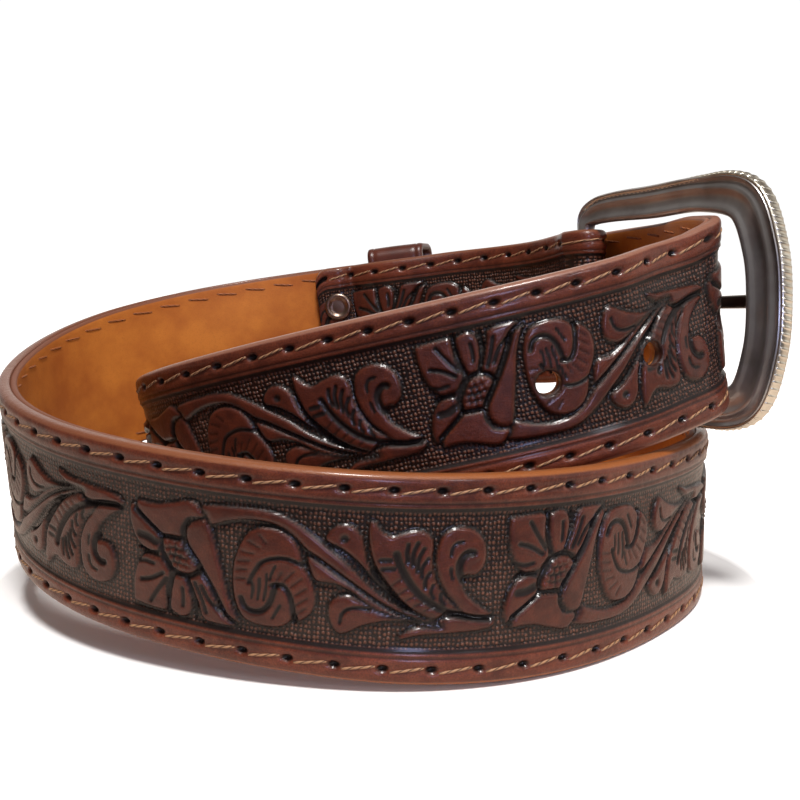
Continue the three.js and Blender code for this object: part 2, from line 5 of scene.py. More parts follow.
import bpy
import numpy as np
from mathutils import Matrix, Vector


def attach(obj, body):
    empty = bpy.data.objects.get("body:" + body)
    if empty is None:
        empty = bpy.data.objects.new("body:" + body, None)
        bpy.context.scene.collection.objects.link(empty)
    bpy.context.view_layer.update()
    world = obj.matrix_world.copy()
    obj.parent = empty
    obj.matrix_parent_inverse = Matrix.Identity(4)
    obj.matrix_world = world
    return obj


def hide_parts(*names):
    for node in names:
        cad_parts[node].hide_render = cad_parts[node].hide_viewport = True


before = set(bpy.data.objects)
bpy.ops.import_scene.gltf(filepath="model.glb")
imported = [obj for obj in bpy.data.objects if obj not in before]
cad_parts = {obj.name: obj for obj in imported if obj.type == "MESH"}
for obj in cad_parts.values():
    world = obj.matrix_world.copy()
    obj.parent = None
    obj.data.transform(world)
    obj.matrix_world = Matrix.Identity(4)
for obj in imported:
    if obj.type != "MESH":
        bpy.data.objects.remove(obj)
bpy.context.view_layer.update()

MM = 0.001

# Leather
STRAP_WIDTH = 38.0
MID = STRAP_WIDTH / 2
LEATHER = 2.4
LINING = 1.35
GAP = 0.3
HALF_GAP = GAP / 2
FACE = HALF_GAP + LEATHER
BORDER = 6.0
EDGE_RADIUS = 1.2
GLUE = 0.02
FLAP_LENGTH = 87.0
FLAP_CORNER = 4.0
TIP_LENGTH = 26.0
TIP_BLUNT = 0.14
TAIL = 108.0
TAIL_SLACK = 0.15
LINING_FROM_HEEL = 15.0
LINING_TRIM = 1.2
LINING_STEP = 1.1
END_TRIM = 0.02
# How far below the face its relief has faded out, and how far in the raw edge's colour reaches,
# each with the distance over which it fades
RELIEF_ENDS = (0.9, 0.85)
RAW_EDGE = (0.8, 0.3)

# Punched holes: the prong fills the one that is counted as PRONG_HOLE, which it has drawn out
# to a short slot. The slot in the fold is given as half its length and its radius.
HOLE_PITCH = 21.5
HOLE_HEIGHT = 17.8
HOLE_RADIUS = 2.4
HOLE_COUNT = 5
PRONG_HOLE = 3
DRAWN_OUT = 0.8
FOLD_SLOT = (6.5, 2.5)

# Buckle, keeper and snaps
BAR_RADIUS = 2.1
FOLD_RADIUS = BAR_RADIUS + GAP + HALF_GAP
BUCKLE_LENGTH = 59.0
BUCKLE_BOW = 1.2
KEEPER_AT = 63.0
KEEPER_WIDTH = 16.0
KEEPER_THICKNESS = 2.0
KEEPER_HEADROOM = 2.0
KEEPER_CORNER = 2.2
# The keeper's face from its edge to near its middle: in from the edge, and outwards
KEEPER_FACE = [(0, 0.35), (0.3, 0.85), (0.9, 1), (1.5, 1), (1.85, 0.8), (2.2, 1), (3.4, 1), (5, 1.05)]
SNAP_AT = 81.0
SNAP_SPREAD = 7.7
SNAP_INWARDS = 2.4
SNAP_CLEAR = 0.12
# Snap cap from its back to its dished middle: radius and rise
SNAP_PROFILE = [(0, -0.15), (3.6, -0.15), (3.85, 0.05), (3.9, 0.3), (3.75, 0.6), (3.4, 0.82), (3, 0.86),
                (2.6, 0.7), (2.3, 0.4), (2, 0.28), (1.5, 0.32), (0.9, 0.36), (0, 0.37)]

# How far along the strap its climb and its heading are taken, and the middle of the whole belt
CLIMB_REACH = 16.0
TANGENT_REACH = 0.2
MIDDLE = np.array([-5.512, -5.04, 0.0])

# The strap's bottom edge from the heel bar round both turns to the buckle's far bar:
# x to the right, y away from the viewer, z above the table, lean in degrees outwards
COIL = [
    (50, 15, 45.7, 0),          # heel bar
    (41, 32, 43.4, 0),          # behind the buckle
    (26, 45.5, 41.8, 0),        # before the keeper
    (5.5, 53, 39.2, 0),         # under the keeper
    (-20, 56, 36, 0),           # flap end
    (-45, 53.5, 32.2, 0),       # back left
    (-70, 41, 26.6, 0),         # left shoulder
    (-86, 16, 19.3, 0.5),       # far left
    (-86.5, -11, 13.8, 2.5),    # leftmost
    (-77, -34, 10, 4),          # front left
    (-61, -50.5, 7.3, 5.5),     # front left curve
    (-40, -62, 5, 6),           # front
    (-18, -68.5, 3, 4.5),       # front middle
    (3, -70, 1.4, 1.5),         # front nearest
    (28, -62.5, 0.4, 0),        # front right
    (51, -43, 0, 0),            # right front
    (67, -16.5, 0, 0),          # rightmost
    (67.5, 10, 0, 0),           # right back
    (50.5, 29.5, 0, 0),         # inner run right
    (19, 37.5, 0, 0),           # inner run
    (-16.5, 33, 0.6, 2),        # inner run left
    (-43, 17.5, 4, 5),          # inner bend start
    (-54, -3.5, 9.2, 6.5),      # inner bend
    (-44.5, -24.5, 15.2, 6.5),  # inner bend end
    (-17.5, -41, 23.3, 5),      # second turn left
    (18, -48.3, 31.9, 2.5),     # second turn front
    (49, -44, 39.3, -2),        # second turn right
    (58.5, -39.4, 42, -6.5),    # second turn end
]

# The same edge through the buckle: along the frame from its heel bar, out of its plane, z, lean
THREADED = [
    (49.4, -8.5, 44.3, -11),    # before the far bar
    (46.3, -5, 46.1, -9.5),     # inside the far bar
    (41, -2.9, 47.5, -6),       # into the window
    (35, -1.7, 47.6, -3),       # in the window
    (30.5, -0.3, 47.4, -1),     # before the prong
    (25.5, 1.9, 47.1, 0),       # at the prong
    (19.5, 4.4, 46.8, 0),       # past the prong
    (12, 6.2, 46.4, 0),         # before the heel
]
AT_PRONG = 5

# Distance of the flap's back from the back of the strap, at distances from the heel bar
FLAP = [(FLAP_LENGTH, 2.4), (SNAP_AT, 2.4), (76.5, 2.7), (74.5, 3.6), (72, 4.6), (54, 4.6), (45, 3.9),
        (30, 3.5), (14, 4.4), (5, 5)]
FOLD_ANGLES = (-90, -45, 0, 45)
HEEL_STEPS = (3, 9)
TAIL_STEPS = (3, 10, 19, 34, 50, 67, 84, TAIL)
FAR_BAR = (76.0, -28.0, 2.6)


# Curves

def unit(vectors):
    return vectors / np.linalg.norm(vectors, axis=-1, keepdims=True)


def span_of(knots, s):
    return np.clip(np.searchsorted(knots, s, side="left") - 1, 0, len(knots) - 2)


def smooth_through(knots, values):
    """Natural cubic through the values, as a function of the knots' variable."""
    count = len(knots)
    h = np.diff(knots)
    system = np.eye(count)
    change = np.zeros(count)
    for i in range(1, count - 1):
        system[i, i - 1:i + 2] = h[i - 1], 2 * (h[i - 1] + h[i]), h[i]
        change[i] = 6 * ((values[i + 1] - values[i]) / h[i] - (values[i] - values[i - 1]) / h[i - 1])
    bend = np.linalg.solve(system, change)

    def at(s):
        i = span_of(knots, s)
        a = (knots[i + 1] - s) / h[i]
        b = 1 - a
        curve = ((a ** 3 - a) * bend[i] + (b ** 3 - b) * bend[i + 1]) * h[i] ** 2 / 6
        return a * values[i] + b * values[i + 1] + curve
    return at


def level_through(knots, values):
    """Cubic that never swings past its rows, so that a level stretch stays level."""
    h = np.diff(knots)
    rise = np.diff(values) / h
    slope = np.zeros(len(knots))
    slope[0], slope[-1] = rise[0], rise[-1]
    for i in range(1, len(knots) - 1):
        product = rise[i - 1] * rise[i]
        if product > 0:
            slope[i] = 2 * product / (rise[i - 1] + rise[i])

    def at(s):
        i = span_of(knots, s)
        t = (s - knots[i]) / h[i]
        ease = t * t * (3 - 2 * t)
        ends = t * (1 - t) ** 2 * h[i] * slope[i] + t * t * (t - 1) * h[i] * slope[i + 1]
        return values[i] * (1 - ease) + values[i + 1] * ease + ends
    return at


class StrapPath:
    """The strap's bottom edge as a smooth line, with the directions of its face at every place."""

    def __init__(self, rows):
        rows = np.array(rows, float)
        steps = np.hypot(*np.diff(rows[:, :2], axis=0).T)
        self.knots = np.concatenate([[0], np.cumsum(steps)])
        self.length = float(self.knots[-1])
        self.x, self.y = (smooth_through(self.knots, rows[:, i]) for i in (0, 1))
        self.z, self.lean = (level_through(self.knots, rows[:, i]) for i in (2, 3))
        self.fold = None

    def climb(self, s):
        start, end = np.zeros_like(s), np.full_like(s, self.length)
        if self.fold:
            after_fold = s > self.fold[0]
            start = np.where(after_fold, self.fold[1], 0.0)
            end = np.where(after_fold, self.length, self.fold[0])
        low = np.maximum(s - CLIMB_REACH, start)
        high = np.minimum(s + CLIMB_REACH, end)
        return (self.z(high) - self.z(low)) / (high - low)

    def sections(self, s):
        foot = np.stack([self.x(s), self.y(s), self.z(s)], -1)
        ahead, behind = s + TANGENT_REACH, s - TANGENT_REACH
        flat = unit(np.stack([self.x(ahead) - self.x(behind), self.y(ahead) - self.y(behind), 0 * s], -1))
        along = flat.copy()
        along[:, 2] = self.climb(s)
        along = unit(along)
        level = unit(np.stack([along[:, 1], -along[:, 0], 0 * s], -1))
        upright = np.cross(level, along)
        lean = np.radians(self.lean(s))[:, None]
        up = upright * np.cos(lean) + level * np.sin(lean)
        out = level * np.cos(lean) - upright * np.sin(lean)
        if self.fold:
            folded = (s >= self.fold[0]) & (s <= self.fold[1])
            up[folded] = buckle_up
            out[folded] = unit(np.cross(flat[folded], buckle_up))
        return foot, up, out

    def place(self, points):
        """Points given as place along the strap, height up its face and depth outwards."""
        foot, up, out = self.sections(points[:, 0])
        return foot + up * points[:, 1:2] + out * points[:, 2:3] - MIDDLE


# The buckle's own axes: from the heel bar to the far bar, out of its face, and up the bar
heel_bar = np.array(COIL[0][:3], float)
buckle_along = unit(np.array([FAR_BAR[0] - heel_bar[0], FAR_BAR[1] - heel_bar[1], FAR_BAR[2]]))
buckle_out = unit(np.array([-buckle_along[1], buckle_along[0], 0.0]))
buckle_up = np.cross(buckle_along, buckle_out)
bar_foot = heel_bar - buckle_out * FOLD_RADIUS


def in_buckle(along, out, up):
    along, out, up = (np.asarray(a, float)[..., None] for a in (along, out, up))
    return bar_foot + buckle_along * along + buckle_out * out + buckle_up * (MID + up)


turns = StrapPath(COIL)


def row_beside(s, outwards):
    foot, _, out = turns.sections(np.array([float(s)]))
    return (*(foot[0] + out[0] * outwards), 0)


def fold_row(degrees):
    angle = math.radians(degrees)
    return (*in_buckle(FOLD_RADIUS * math.cos(angle), FOLD_RADIUS * math.sin(angle), -MID), 0)


def threaded_row(along, out, z, lean):
    x, y, _ = in_buckle(along, out, -MID)
    return (x, y, z, lean)


tail_offset = HALF_GAP + LEATHER + GAP + LINING + HALF_GAP + TAIL_SLACK
flap_rows = [row_beside(s, -inwards) for s, inwards in FLAP]
fold_rows = [fold_row(degrees) for degrees in FOLD_ANGLES]
coil_rows = [COIL[0], *(row_beside(s, 0) for s in HEEL_STEPS), *COIL[1:]]
threaded_rows = [threaded_row(*row) for row in THREADED]
tail_rows = [row_beside(s, tail_offset) for s in TAIL_STEPS]
strap = StrapPath(flap_rows + fold_rows + coil_rows + threaded_rows + tail_rows)
before_coil = len(flap_rows) + len(fold_rows)
strap.fold = (strap.knots[len(flap_rows)], strap.knots[before_coil])
lining_start = strap.fold[1] + LINING_FROM_HEEL
prong_at = strap.knots[before_coil + len(coil_rows) + AT_PRONG]
holes = [(prong_at + (i - PRONG_HOLE) * HOLE_PITCH, MID if i == PRONG_HOLE else HOLE_HEIGHT)
         for i in range(HOLE_COUNT)]


# Floral tooling, charted in millimetres for one unit of the pattern: along the strap from the
# flower's middle, and up the strap's face. Every other unit is upside down. A point that is
# given twice is a sharp corner.
UNIT_LENGTH = 68.0
UNIT_START = -12.0

STEM = [(3.2, 28.9), (3.5, 29.2), (7, 29.8), (11, 30), (14.5, 30.1), (18, 29.5), (20.5, 28.3), (23.5, 26.3),
        (26.5, 24), (29.5, 21.7), (31.5, 19.8), (33.5, 17.9), (36, 16), (39, 14.3), (42.5, 12.6),
        (45.5, 11.6), (44, 11.5), (40, 12.8), (36, 14.6), (32.5, 16.8), (28.5, 19.5), (24.5, 22.2),
        (22.3, 23.5), (21, 24.6), (19, 26.2), (17, 27.2), (14.5, 27.7), (11.5, 27.6), (8, 26.7),
        (5.2, 25.4), (5.2, 25.4), (4.2, 26.9)]
SECOND_STEM = [(22.2, 22.8), (22.2, 22.8), (24.5, 21.7), (28.5, 19.1), (32.5, 16.4), (36, 14.2), (40, 12.4),
               (43, 11.5), (39, 12.2), (35, 13.6), (32.5, 15), (30.5, 16.4), (27.5, 17.7), (23.9, 18.1),
               (22.8, 20.2)]
CALYX = [(-9.4, 28.2), (-9.4, 28.2), (-5.5, 28), (-1.5, 29), (1.5, 29.8), (3.2, 28.9), (4.2, 27),
         (1.5, 26.4), (0.4, 24.4), (0.2, 22.4), (0.2, 22.4), (-4, 22.3), (-4, 22.3), (-6.5, 24.1),
         (-9.3, 26.6)]
PISTIL = [(-4, 21.8), (-4, 21.8), (0.2, 22), (0.2, 22), (0.9, 20.6), (3.2, 17.6), (2.6, 16.4), (0.7, 15.6),
          (-1.3, 16), (-3, 17.7), (-4, 20)]
TEARDROP = [(2.8, 26.6), (4.4, 26.8), (5.6, 25), (6.7, 21), (7.8, 17), (8.8, 13), (11.2, 7.6), (11.2, 7.6),
            (8.2, 9.6), (6.8, 12.2), (5.2, 15), (3.5, 17.8), (1.3, 20.6), (0.6, 22.6), (0.8, 24.6)]
LEFT_PETAL = [(-10.6, 27.3), (-11.1, 24.5), (-10.2, 21.2), (-8.6, 19.2), (-7.2, 18.7), (-5.2, 18.5),
              (-4.5, 20.3), (-4.4, 22.1), (-7.2, 24.5), (-9.6, 26.5)]
LOWER_LEFT_PETAL = [(-7.4, 18.1), (-9.2, 16.5), (-10.4, 13.5), (-10.8, 10.5), (-10.7, 7.8), (-10.7, 7.8),
                    (-7, 7.4), (-3.4, 7.6), (-3.2, 9.8), (-3.3, 12.4), (-2.4, 15), (-3.4, 16.7),
                    (-4.6, 17.9)]
MIDDLE_PETAL = [(-2.6, 8), (-1, 7.1), (0.4, 7.1), (1.5, 8), (1.9, 10), (1.4, 12.5), (0.5, 15), (-1.5, 15.1),
                (-2.3, 12.5), (-2.7, 10)]
RIGHT_PETAL = [(1.2, 15.1), (2.2, 12.4), (3.2, 9.6), (3.6, 8), (5, 7.1), (10.9, 7.1), (10.9, 7.1), (8, 9),
               (6.4, 12), (4.8, 14.7), (3.2, 16.3)]
SCROLL = [(17, 26.9), (19.5, 25.8), (21, 24), (21.7, 22), (22.1, 20.6), (23.4, 18.3), (24.3, 15.8),
          (24.3, 13.2), (23.3, 11.3), (21.4, 9.8), (21.4, 9.8), (20.9, 11.2), (20.3, 10), (18.8, 8.7),
          (16.5, 8.2), (14, 8.3), (11.8, 9), (10.4, 10.8), (9.6, 13.5), (9.3, 16.5), (9.6, 20),
          (10.7, 23.3), (12.2, 25.7), (14.3, 26.8)]
LOWER_BUD = [(27.5, 15.4), (29.5, 16.1), (31.5, 15.7), (33.5, 14.8), (35.5, 13.9), (38.5, 12.9),
             (42.5, 11.9), (46, 11.1), (44, 10.9), (40.5, 11.5), (36.5, 11.6), (34, 11), (32, 10.2),
             (30.4, 9.2), (29, 8.6), (27.7, 9.2), (26.7, 11), (26.4, 13), (26.7, 14.5)]
UPPER_BUD = [(25.3, 26.2), (26.3, 27.9), (28, 28.9), (29.6, 28.8), (31, 27.8), (31.9, 26.3), (32.3, 24.4),
             (32.9, 22.1), (34.1, 19.9), (36.5, 17), (39.5, 14.4), (37, 16), (34.8, 18), (32.5, 20.5),
             (30.5, 22.5), (28, 24.3), (25.8, 25.2)]
LEAF = [(32.6, 30.2), (32.6, 30.2), (33.9, 29.3), (35, 28), (36.5, 27.3), (38.5, 27.9), (40.5, 28.4),
        (42.2, 28.2), (43.4, 27.2), (43.9, 25.6), (43.9, 23), (44.6, 20), (46, 17), (48, 15.4), (52, 12.9),
        (46.5, 13.2), (44.5, 11.9), (42.5, 12.8), (39.5, 14.7), (37.2, 17.2), (35, 20), (33.5, 22.4),
        (32.8, 24.8), (32.4, 27.4)]
CURL = [(44.4, 25.8), (45, 27.4), (46, 28.3), (47.5, 28.9), (49.5, 28.9), (51.5, 28), (52.8, 26.5),
        (53.4, 24.5), (53.3, 22.5), (52.5, 20.8), (51.2, 20), (49.8, 20.1), (49.2, 19.2), (50, 17),
        (51.5, 15.5), (53.5, 14), (55.2, 13), (55.2, 13), (54, 12.4), (50, 13), (48, 15), (46.2, 17),
        (44.7, 20), (44.1, 23)]
FOOT = [(38.6, 9.2), (38.6, 9.2), (40.6, 10.5), (43.6, 11.6), (46, 12.4), (49, 12.9), (53, 12.7),
        (55.4, 12.2), (55.3, 10.8), (53.5, 10), (48.5, 9.6), (42.5, 9.2), (40, 8.6), (38.5, 8.2),
        (38.5, 8.2)]
FLOWER_BASE = [(-9.2, 27.4), (-5, 27.4), (0, 28.6), (3.6, 27), (5.4, 23), (6.8, 17), (8, 13), (6, 10.6),
               (3.4, 11.6), (2.4, 10.6), (0, 12), (-2.6, 10.6), (-4, 9.6), (-8.4, 10), (-9.2, 14.5),
               (-7.6, 18.4), (-9.8, 21.6), (-10.4, 26)]
# From the lowest to the one on top
SHAPES = [FLOWER_BASE, FOOT, LOWER_BUD, LEAF, CURL, SECOND_STEM, UPPER_BUD, STEM, SCROLL, LOWER_LEFT_PETAL,
          LEFT_PETAL, RIGHT_PETAL, MIDDLE_PETAL, TEARDROP, CALYX, PISTIL]

# Knife cuts inside the shapes: width, depth and the line
CUTS = [
    (0.75, 0.45, [(-9.6, 26), (-7, 24.2), (-4.4, 22), (-4.2, 19.6), (-3.2, 17.2), (-1.3, 15.6), (0.7, 15.2),
                  (2.6, 16), (3.4, 17.4)]),
    (0.6, 0.45, [(-4.2, 22.1), (-1.8, 22), (0.1, 22.4), (0, 24), (1.2, 26.2)]),
    (0.95, 0.5, [(0.6, 21.6), (2.8, 18.4), (5, 15.2), (6.8, 12), (8, 9.7)]),
    (1.2, 0.22, [(-8.6, 21.6), (-6.9, 21.4), (-5.4, 20.7)]),
    (0.7, 0.4, [(-9, 18.9), (-7, 18.4), (-5.2, 18.6)]),
    (0.7, 0.4, [(-8.6, 12.7), (-6.4, 13.4), (-4, 14.9)]),
    (0.7, 0.4, [(-6.6, 8.9), (-5.2, 11.2), (-3.3, 14)]),
    (0.6, 0.28, [(-9.3, 16.2), (-7.6, 16.6), (-5.8, 16.4)]),
    (0.7, 0.45, [(-3, 7.2), (-2.9, 10), (-2.6, 12.6), (-1.9, 15)]),
    (0.6, 0.4, [(0, 12.8), (0.2, 11), (0.1, 9.4)]),
    (0.7, 0.45, [(0.8, 14.8), (1.9, 12.3), (2.3, 9.8), (2.4, 7.4)]),
    (0.6, 0.4, [(2.5, 14.4), (3.8, 11.6), (4.7, 9)]),
    (0.6, 0.4, [(3.8, 14), (5.2, 11.6), (7, 9.9)]),
    (0.6, 0.45, [(22.1, 20.6), (19.5, 21.5), (17, 21.4), (14.8, 20.4), (13.5, 18.4), (12.6, 16.3)]),
    (0.85, 0.5, [(11.2, 13.2), (12, 11.6), (13.5, 11), (15.2, 11.4), (16.4, 13), (17, 15), (17.3, 16.3)]),
    (0.8, 0.5, [(16.8, 16.4), (18.5, 16.6), (19.7, 15.2), (20.4, 13), (20.7, 11), (20.8, 10)]),
    (0.45, 0.28, [(17, 10.2), (17.6, 11.4), (18.3, 12.8)]),
    (0.4, 0.22, [(14.3, 13.4), (14.5, 15.4), (14.5, 17.4)]),
    (0.4, 0.22, [(15.4, 13.4), (15.7, 15.8), (15.7, 18.4)]),
    (0.4, 0.18, [(13.2, 13.6), (13.4, 15), (13.3, 16.4)]),
    (0.4, 0.16, [(16.3, 17.4), (16.7, 18.8), (17.2, 20)]),
    (0.45, 0.4, [(25.6, 25), (28, 24.2), (30.4, 22.4), (32.6, 20.3), (35, 17.8), (37.5, 15.7),
                 (40.6, 13.8)]),
    (0.5, 0.4, [(28.7, 10.9), (28.9, 12.4), (29.8, 13.5), (31.5, 13.9), (33.5, 13.7)]),
    (1.05, 0.5, [(37.5, 24), (38.1, 22.3), (39.4, 19.8), (41.4, 17.2), (43.5, 15.4), (46, 14), (48.7, 13),
                 (51.5, 12.4), (54.4, 12.1)]),
    (0.85, 0.5, [(33.6, 20.8), (35.2, 18.4), (37.2, 16), (39.6, 14)]),
    (0.6, 0.4, [(39.4, 25.8), (39.2, 24.2), (39.5, 22.5)]),
    (0.6, 0.4, [(41, 26.1), (40.3, 24.2), (40.3, 22)]),
    (0.6, 0.4, [(42.1, 25.1), (41.3, 23.3), (41.2, 21)]),
    (0.55, 0.36, [(42.9, 23.3), (42, 21.7), (42, 20)]),
    (0.55, 0.36, [(43.3, 20.8), (42.6, 19.4), (42.7, 18)]),
    (0.5, 0.3, [(44, 18.6), (43.7, 17.4), (44.2, 16.2)]),
    (0.5, 0.3, [(45.4, 16.8), (45.5, 15.9), (46.1, 15)]),
    (1.1, 0.5, [(50.7, 24.2), (50, 24.3), (49, 23.6), (48.4, 22.2), (48.5, 20.6), (49.1, 19.3)]),
    (0.5, 0.32, [(48.8, 26.3), (47.6, 26), (46.9, 25), (46.8, 23.8)]),
    (0.45, 0.24, [(46.9, 21.6), (47, 20.6), (47.3, 19.6)]),
    (0.7, 0.2, [(34.9, 22.8), (36.6, 22.9)]),
    (0.7, 0.2, [(35.3, 21.2), (37.2, 21.4)]),
]
# Ladder cuts across a shape, given as the two ends of each rung
RUNGS = [
    ((17.6, 17.4), (18.3, 18.9)), ((18.8, 17.4), (20.4, 19.4)), ((20.1, 16.6), (21.8, 18.2)),
    ((20.9, 15.1), (22.6, 16.5)), ((21.1, 13.3), (22.9, 14.7)), ((21.4, 11.7), (22.8, 12.9)),
    ((10.2, 16.7), (12, 17)), ((10.2, 18.4), (12.1, 18.7)), ((10.5, 20.1), (12.6, 20.3)),
    ((11.2, 22), (13.3, 21.7)), ((12.4, 23.9), (14.3, 23)), ((14.2, 25.4), (15.4, 24)),
    ((36.9, 18.2), (38.6, 19.6)), ((38.1, 16.7), (39.8, 17.9)), ((39.4, 15.6), (41.1, 16.6)),
    ((40.9, 14.7), (42.7, 15.6)), ((42.7, 13.9), (44.4, 14.7)),
]
# Width, depth and darkness of every rung
RUNG = (0.55, 0.2, 0.45)
SEEDS = [(-3, 20.8), (-1.8, 21), (-0.5, 20.9), (-2.9, 19.5), (-1.7, 19.7), (-0.5, 19.6), (0.6, 19.4),
         (-2.1, 18.3), (-0.9, 18.3), (0.3, 18.1), (1.5, 17.9), (-1.4, 17), (-0.2, 16.9), (1, 16.7)]
# Round marks: middle, radius, rise and darkness of the bud's eye, the seeds' bed and the seeds
DOTS = [((28.7, 26.2), 0.95, -0.45, 1), ((-1, 18.9), 3, -0.12, 0.75),
        *((seed, 0.6, 0.42, -0.9) for seed in SEEDS)]

# Middles of the flowers along the strap, and which way up the unit is
FLOWERS = [(21.5, 1), (89.5, -1), (157.5, 1), (225.5, -1), (293.5, 1), (361.5, -1), (429.5, 1),
           (497.5, -1), (565.5, 1), (630.5, 1), (694.5, -1), (760, 1), (822, -1), (884.5, 1), (948, -1),
           (1012, 1)]

# Heights of the tooling from the strap's face, and how far its slopes reach
GROUND = -0.66
BETWEEN_SHAPES = -0.4
EDGE_ROUNDING = 0.55
BEVEL = 0.2
BEVEL_REACH = 1.3
CROWN = 0.1
CUT_WIDENING = 1.3
CROWN_REACH = 1.3
FIELD_EDGE = 6.4
FIELD_SLOPE = 0.45
# Pressed lines beside the field: how far outside its edge, half width and depth
GROOVE = (0.15, 0.42, 0.5)
SECOND_GROOVE = (1.25, 0.36, 0.16)
BORDER_CROWN = 0.16
STITCH_CHANNEL = 0.16
CHANNEL_WIDTH = 0.8
DISH_WIDTH = 0.9
DISH_DEPTH = 0.3
MAP_STEP = 0.1
FADE_AT_TIP = (34.0, 18.0)

# Stitches: numbers of some holes along the strap and their places
STITCH_NUMBERS = [0, 45, 54, 90, 98, 121]
STITCH_PLACES = [3.0, 356.5, 431.0, 719.0, 780.0, 968.0]
STITCH_ROWS = (3.0, 35.2)
LAST_STITCH = 117
FIRST_ON_LINING = 15
SUNK_IN_LINING = 0.18
PIT_LENGTH = 0.95
PIT_WIDTH = 0.62
PIT_DEPTH = 1.1
THREAD = 0.26
THREAD_TURNS = 4
THREAD_RISE = 0.2
# One stitch: its start and length as parts of the pitch, its slant, and its sink and thickness at
# the ends
STITCH_START = 0.07
STITCH_LENGTH = 0.85
STITCH_SLANT = 1.2
STITCH_SINK = 1.1
STITCH_TAPER = 0.6

# Buckle rail, half of it from the heel bar to the far bar: along, up, width
RAIL = [(0, 0, 4.2), (0, 17, 4.2), (0.9, 21.8, 5.4), (6, 23.7, 6.8), (22, 23.8, 7.6), (37.5, 23.8, 7.8),
        (49.2, 21, 9.4), (53.9, 11, 9.4), (55, 0, 9.4)]
# Section of the rail: across as a part of the half width, and outwards
RAIL_SECTION = [(-1, -0.55), (-0.96, -1.2), (-0.86, -1.65), (-0.74, -1.78), (-0.62, -1.65), (-0.52, -1.25),
                (-0.36, -1.05), (-0.14, -1), (0.06, -1.1), (0.2, -1.5), (0.32, -1.72), (0.44, -1.5),
                (0.54, -1.2), (0.66, -1.15), (0.78, -1.35), (0.88, -1.7), (0.96, -1.3), (1, -0.6), (1, 0.3),
                (0.94, 0.9), (0.8, 1.15), (0.62, 1.25), (0.56, 1.6), (0.45, 1.8), (0.2, 1.86), (-0.1, 1.88),
                (-0.4, 1.84), (-0.62, 1.7), (-0.82, 1.35), (-0.95, 0.9), (-1, 0.2)]
SECTION_HEIGHT = 1.9
# The round bar turns into the rail's section from this width on, over this much more width
FLARE = (4.3, 1.6)
# Rope rim: ribs on a band, both a little inside the rail's edge. Near the heel the rim is sunk
# into the rail, and it rises out of it between two places along the buckle.
RIB_PITCH = 1.3
RIB_HALF = (0.72, 0.9, 1.75)
RIB_BEYOND = -0.15
RIB_SLANT = 16
RIBS_APART = 100
BAND_BEYOND = -0.1
BAND_HALF = (0.6, 1.7)
RIM_OUT = 0.1
RIM_SUNK = 0.7
RIM_RISES = (30.0, 44.0)

# Prong: along, out, width
PRONG = [(2.6, 0, 3.4), (12, 0, 3.2), (20, 0.5, 3), (28, 2.6, 2.8), (36, 3.9, 2.8), (48, 4.4, 3),
         (56, 4.1, 2.4)]
PRONG_THICKNESS = 2.8
# Its eye round the heel bar: radius, half thickness and half width
PRONG_EYE = (3.2, 0.72, 1.7)

# Fineness of the tooled face, and the starts of the lengths that the strap is made in
ROW_STEP = 0.36
FACE_STEP = 0.35
LENGTHS = (0.0, 118.0, 262.0, 508.0, 648.0, 880.0)


def eased(t):
    t = np.clip(t, 0, 1)
    return t * t * (3 - 2 * t)


# Tooling

def smooth_line(points, closed, steps=6):
    """Rounded line through the points, with a sharp corner where a point is given twice."""
    p = np.array(points, float)
    after, before = np.roll(p, -1, 0), np.roll(p, 1, 0)
    if not closed:
        after[-1], before[0] = p[-1], p[0]
    reach = np.linalg.norm(after - p, axis=1) + np.linalg.norm(p - before, axis=1)
    heading = (after - before) / np.maximum(reach, 1e-6)[:, None]
    twice = (p == after).all(1) | (p == before).all(1)
    heading[twice & closed] = 0
    t = (np.arange(steps) / steps)[:, None]
    line = []
    for i in range(len(p) if closed else len(p) - 1):
        a, b = p[i], p[(i + 1) % len(p)]
        span = np.linalg.norm(b - a)
        turn_a, turn_b = heading[i] * span, heading[(i + 1) % len(p)] * span
        bent = turn_a * t * (1 - t) ** 2 + turn_b * t * t * (t - 1)
        line.append(a + (b - a) * eased(t) + bent)
    line.append(p[:1] if closed else p[-1:])
    return np.concatenate(line)


def distance_to(line, x, y):
    nearest = np.full(x.shape, 1e6)
    for (ax, ay), (bx, by) in zip(line[:-1], line[1:]):
        dx, dy = bx - ax, by - ay
        t = np.clip(((x - ax) * dx + (y - ay) * dy) / max(dx * dx + dy * dy, 1e-9), 0, 1)
        nearest = np.minimum(nearest, (x - ax - t * dx) ** 2 + (y - ay - t * dy) ** 2)
    return np.sqrt(nearest)


def is_inside(line, x, y):
    inside = np.zeros(x.shape, bool)
    for (ax, ay), (bx, by) in zip(line[:-1], line[1:]):
        if ay != by:
            inside ^= ((ay > y) != (by > y)) & (x < (bx - ax) * (y - ay) / (by - ay) + ax)
    return inside


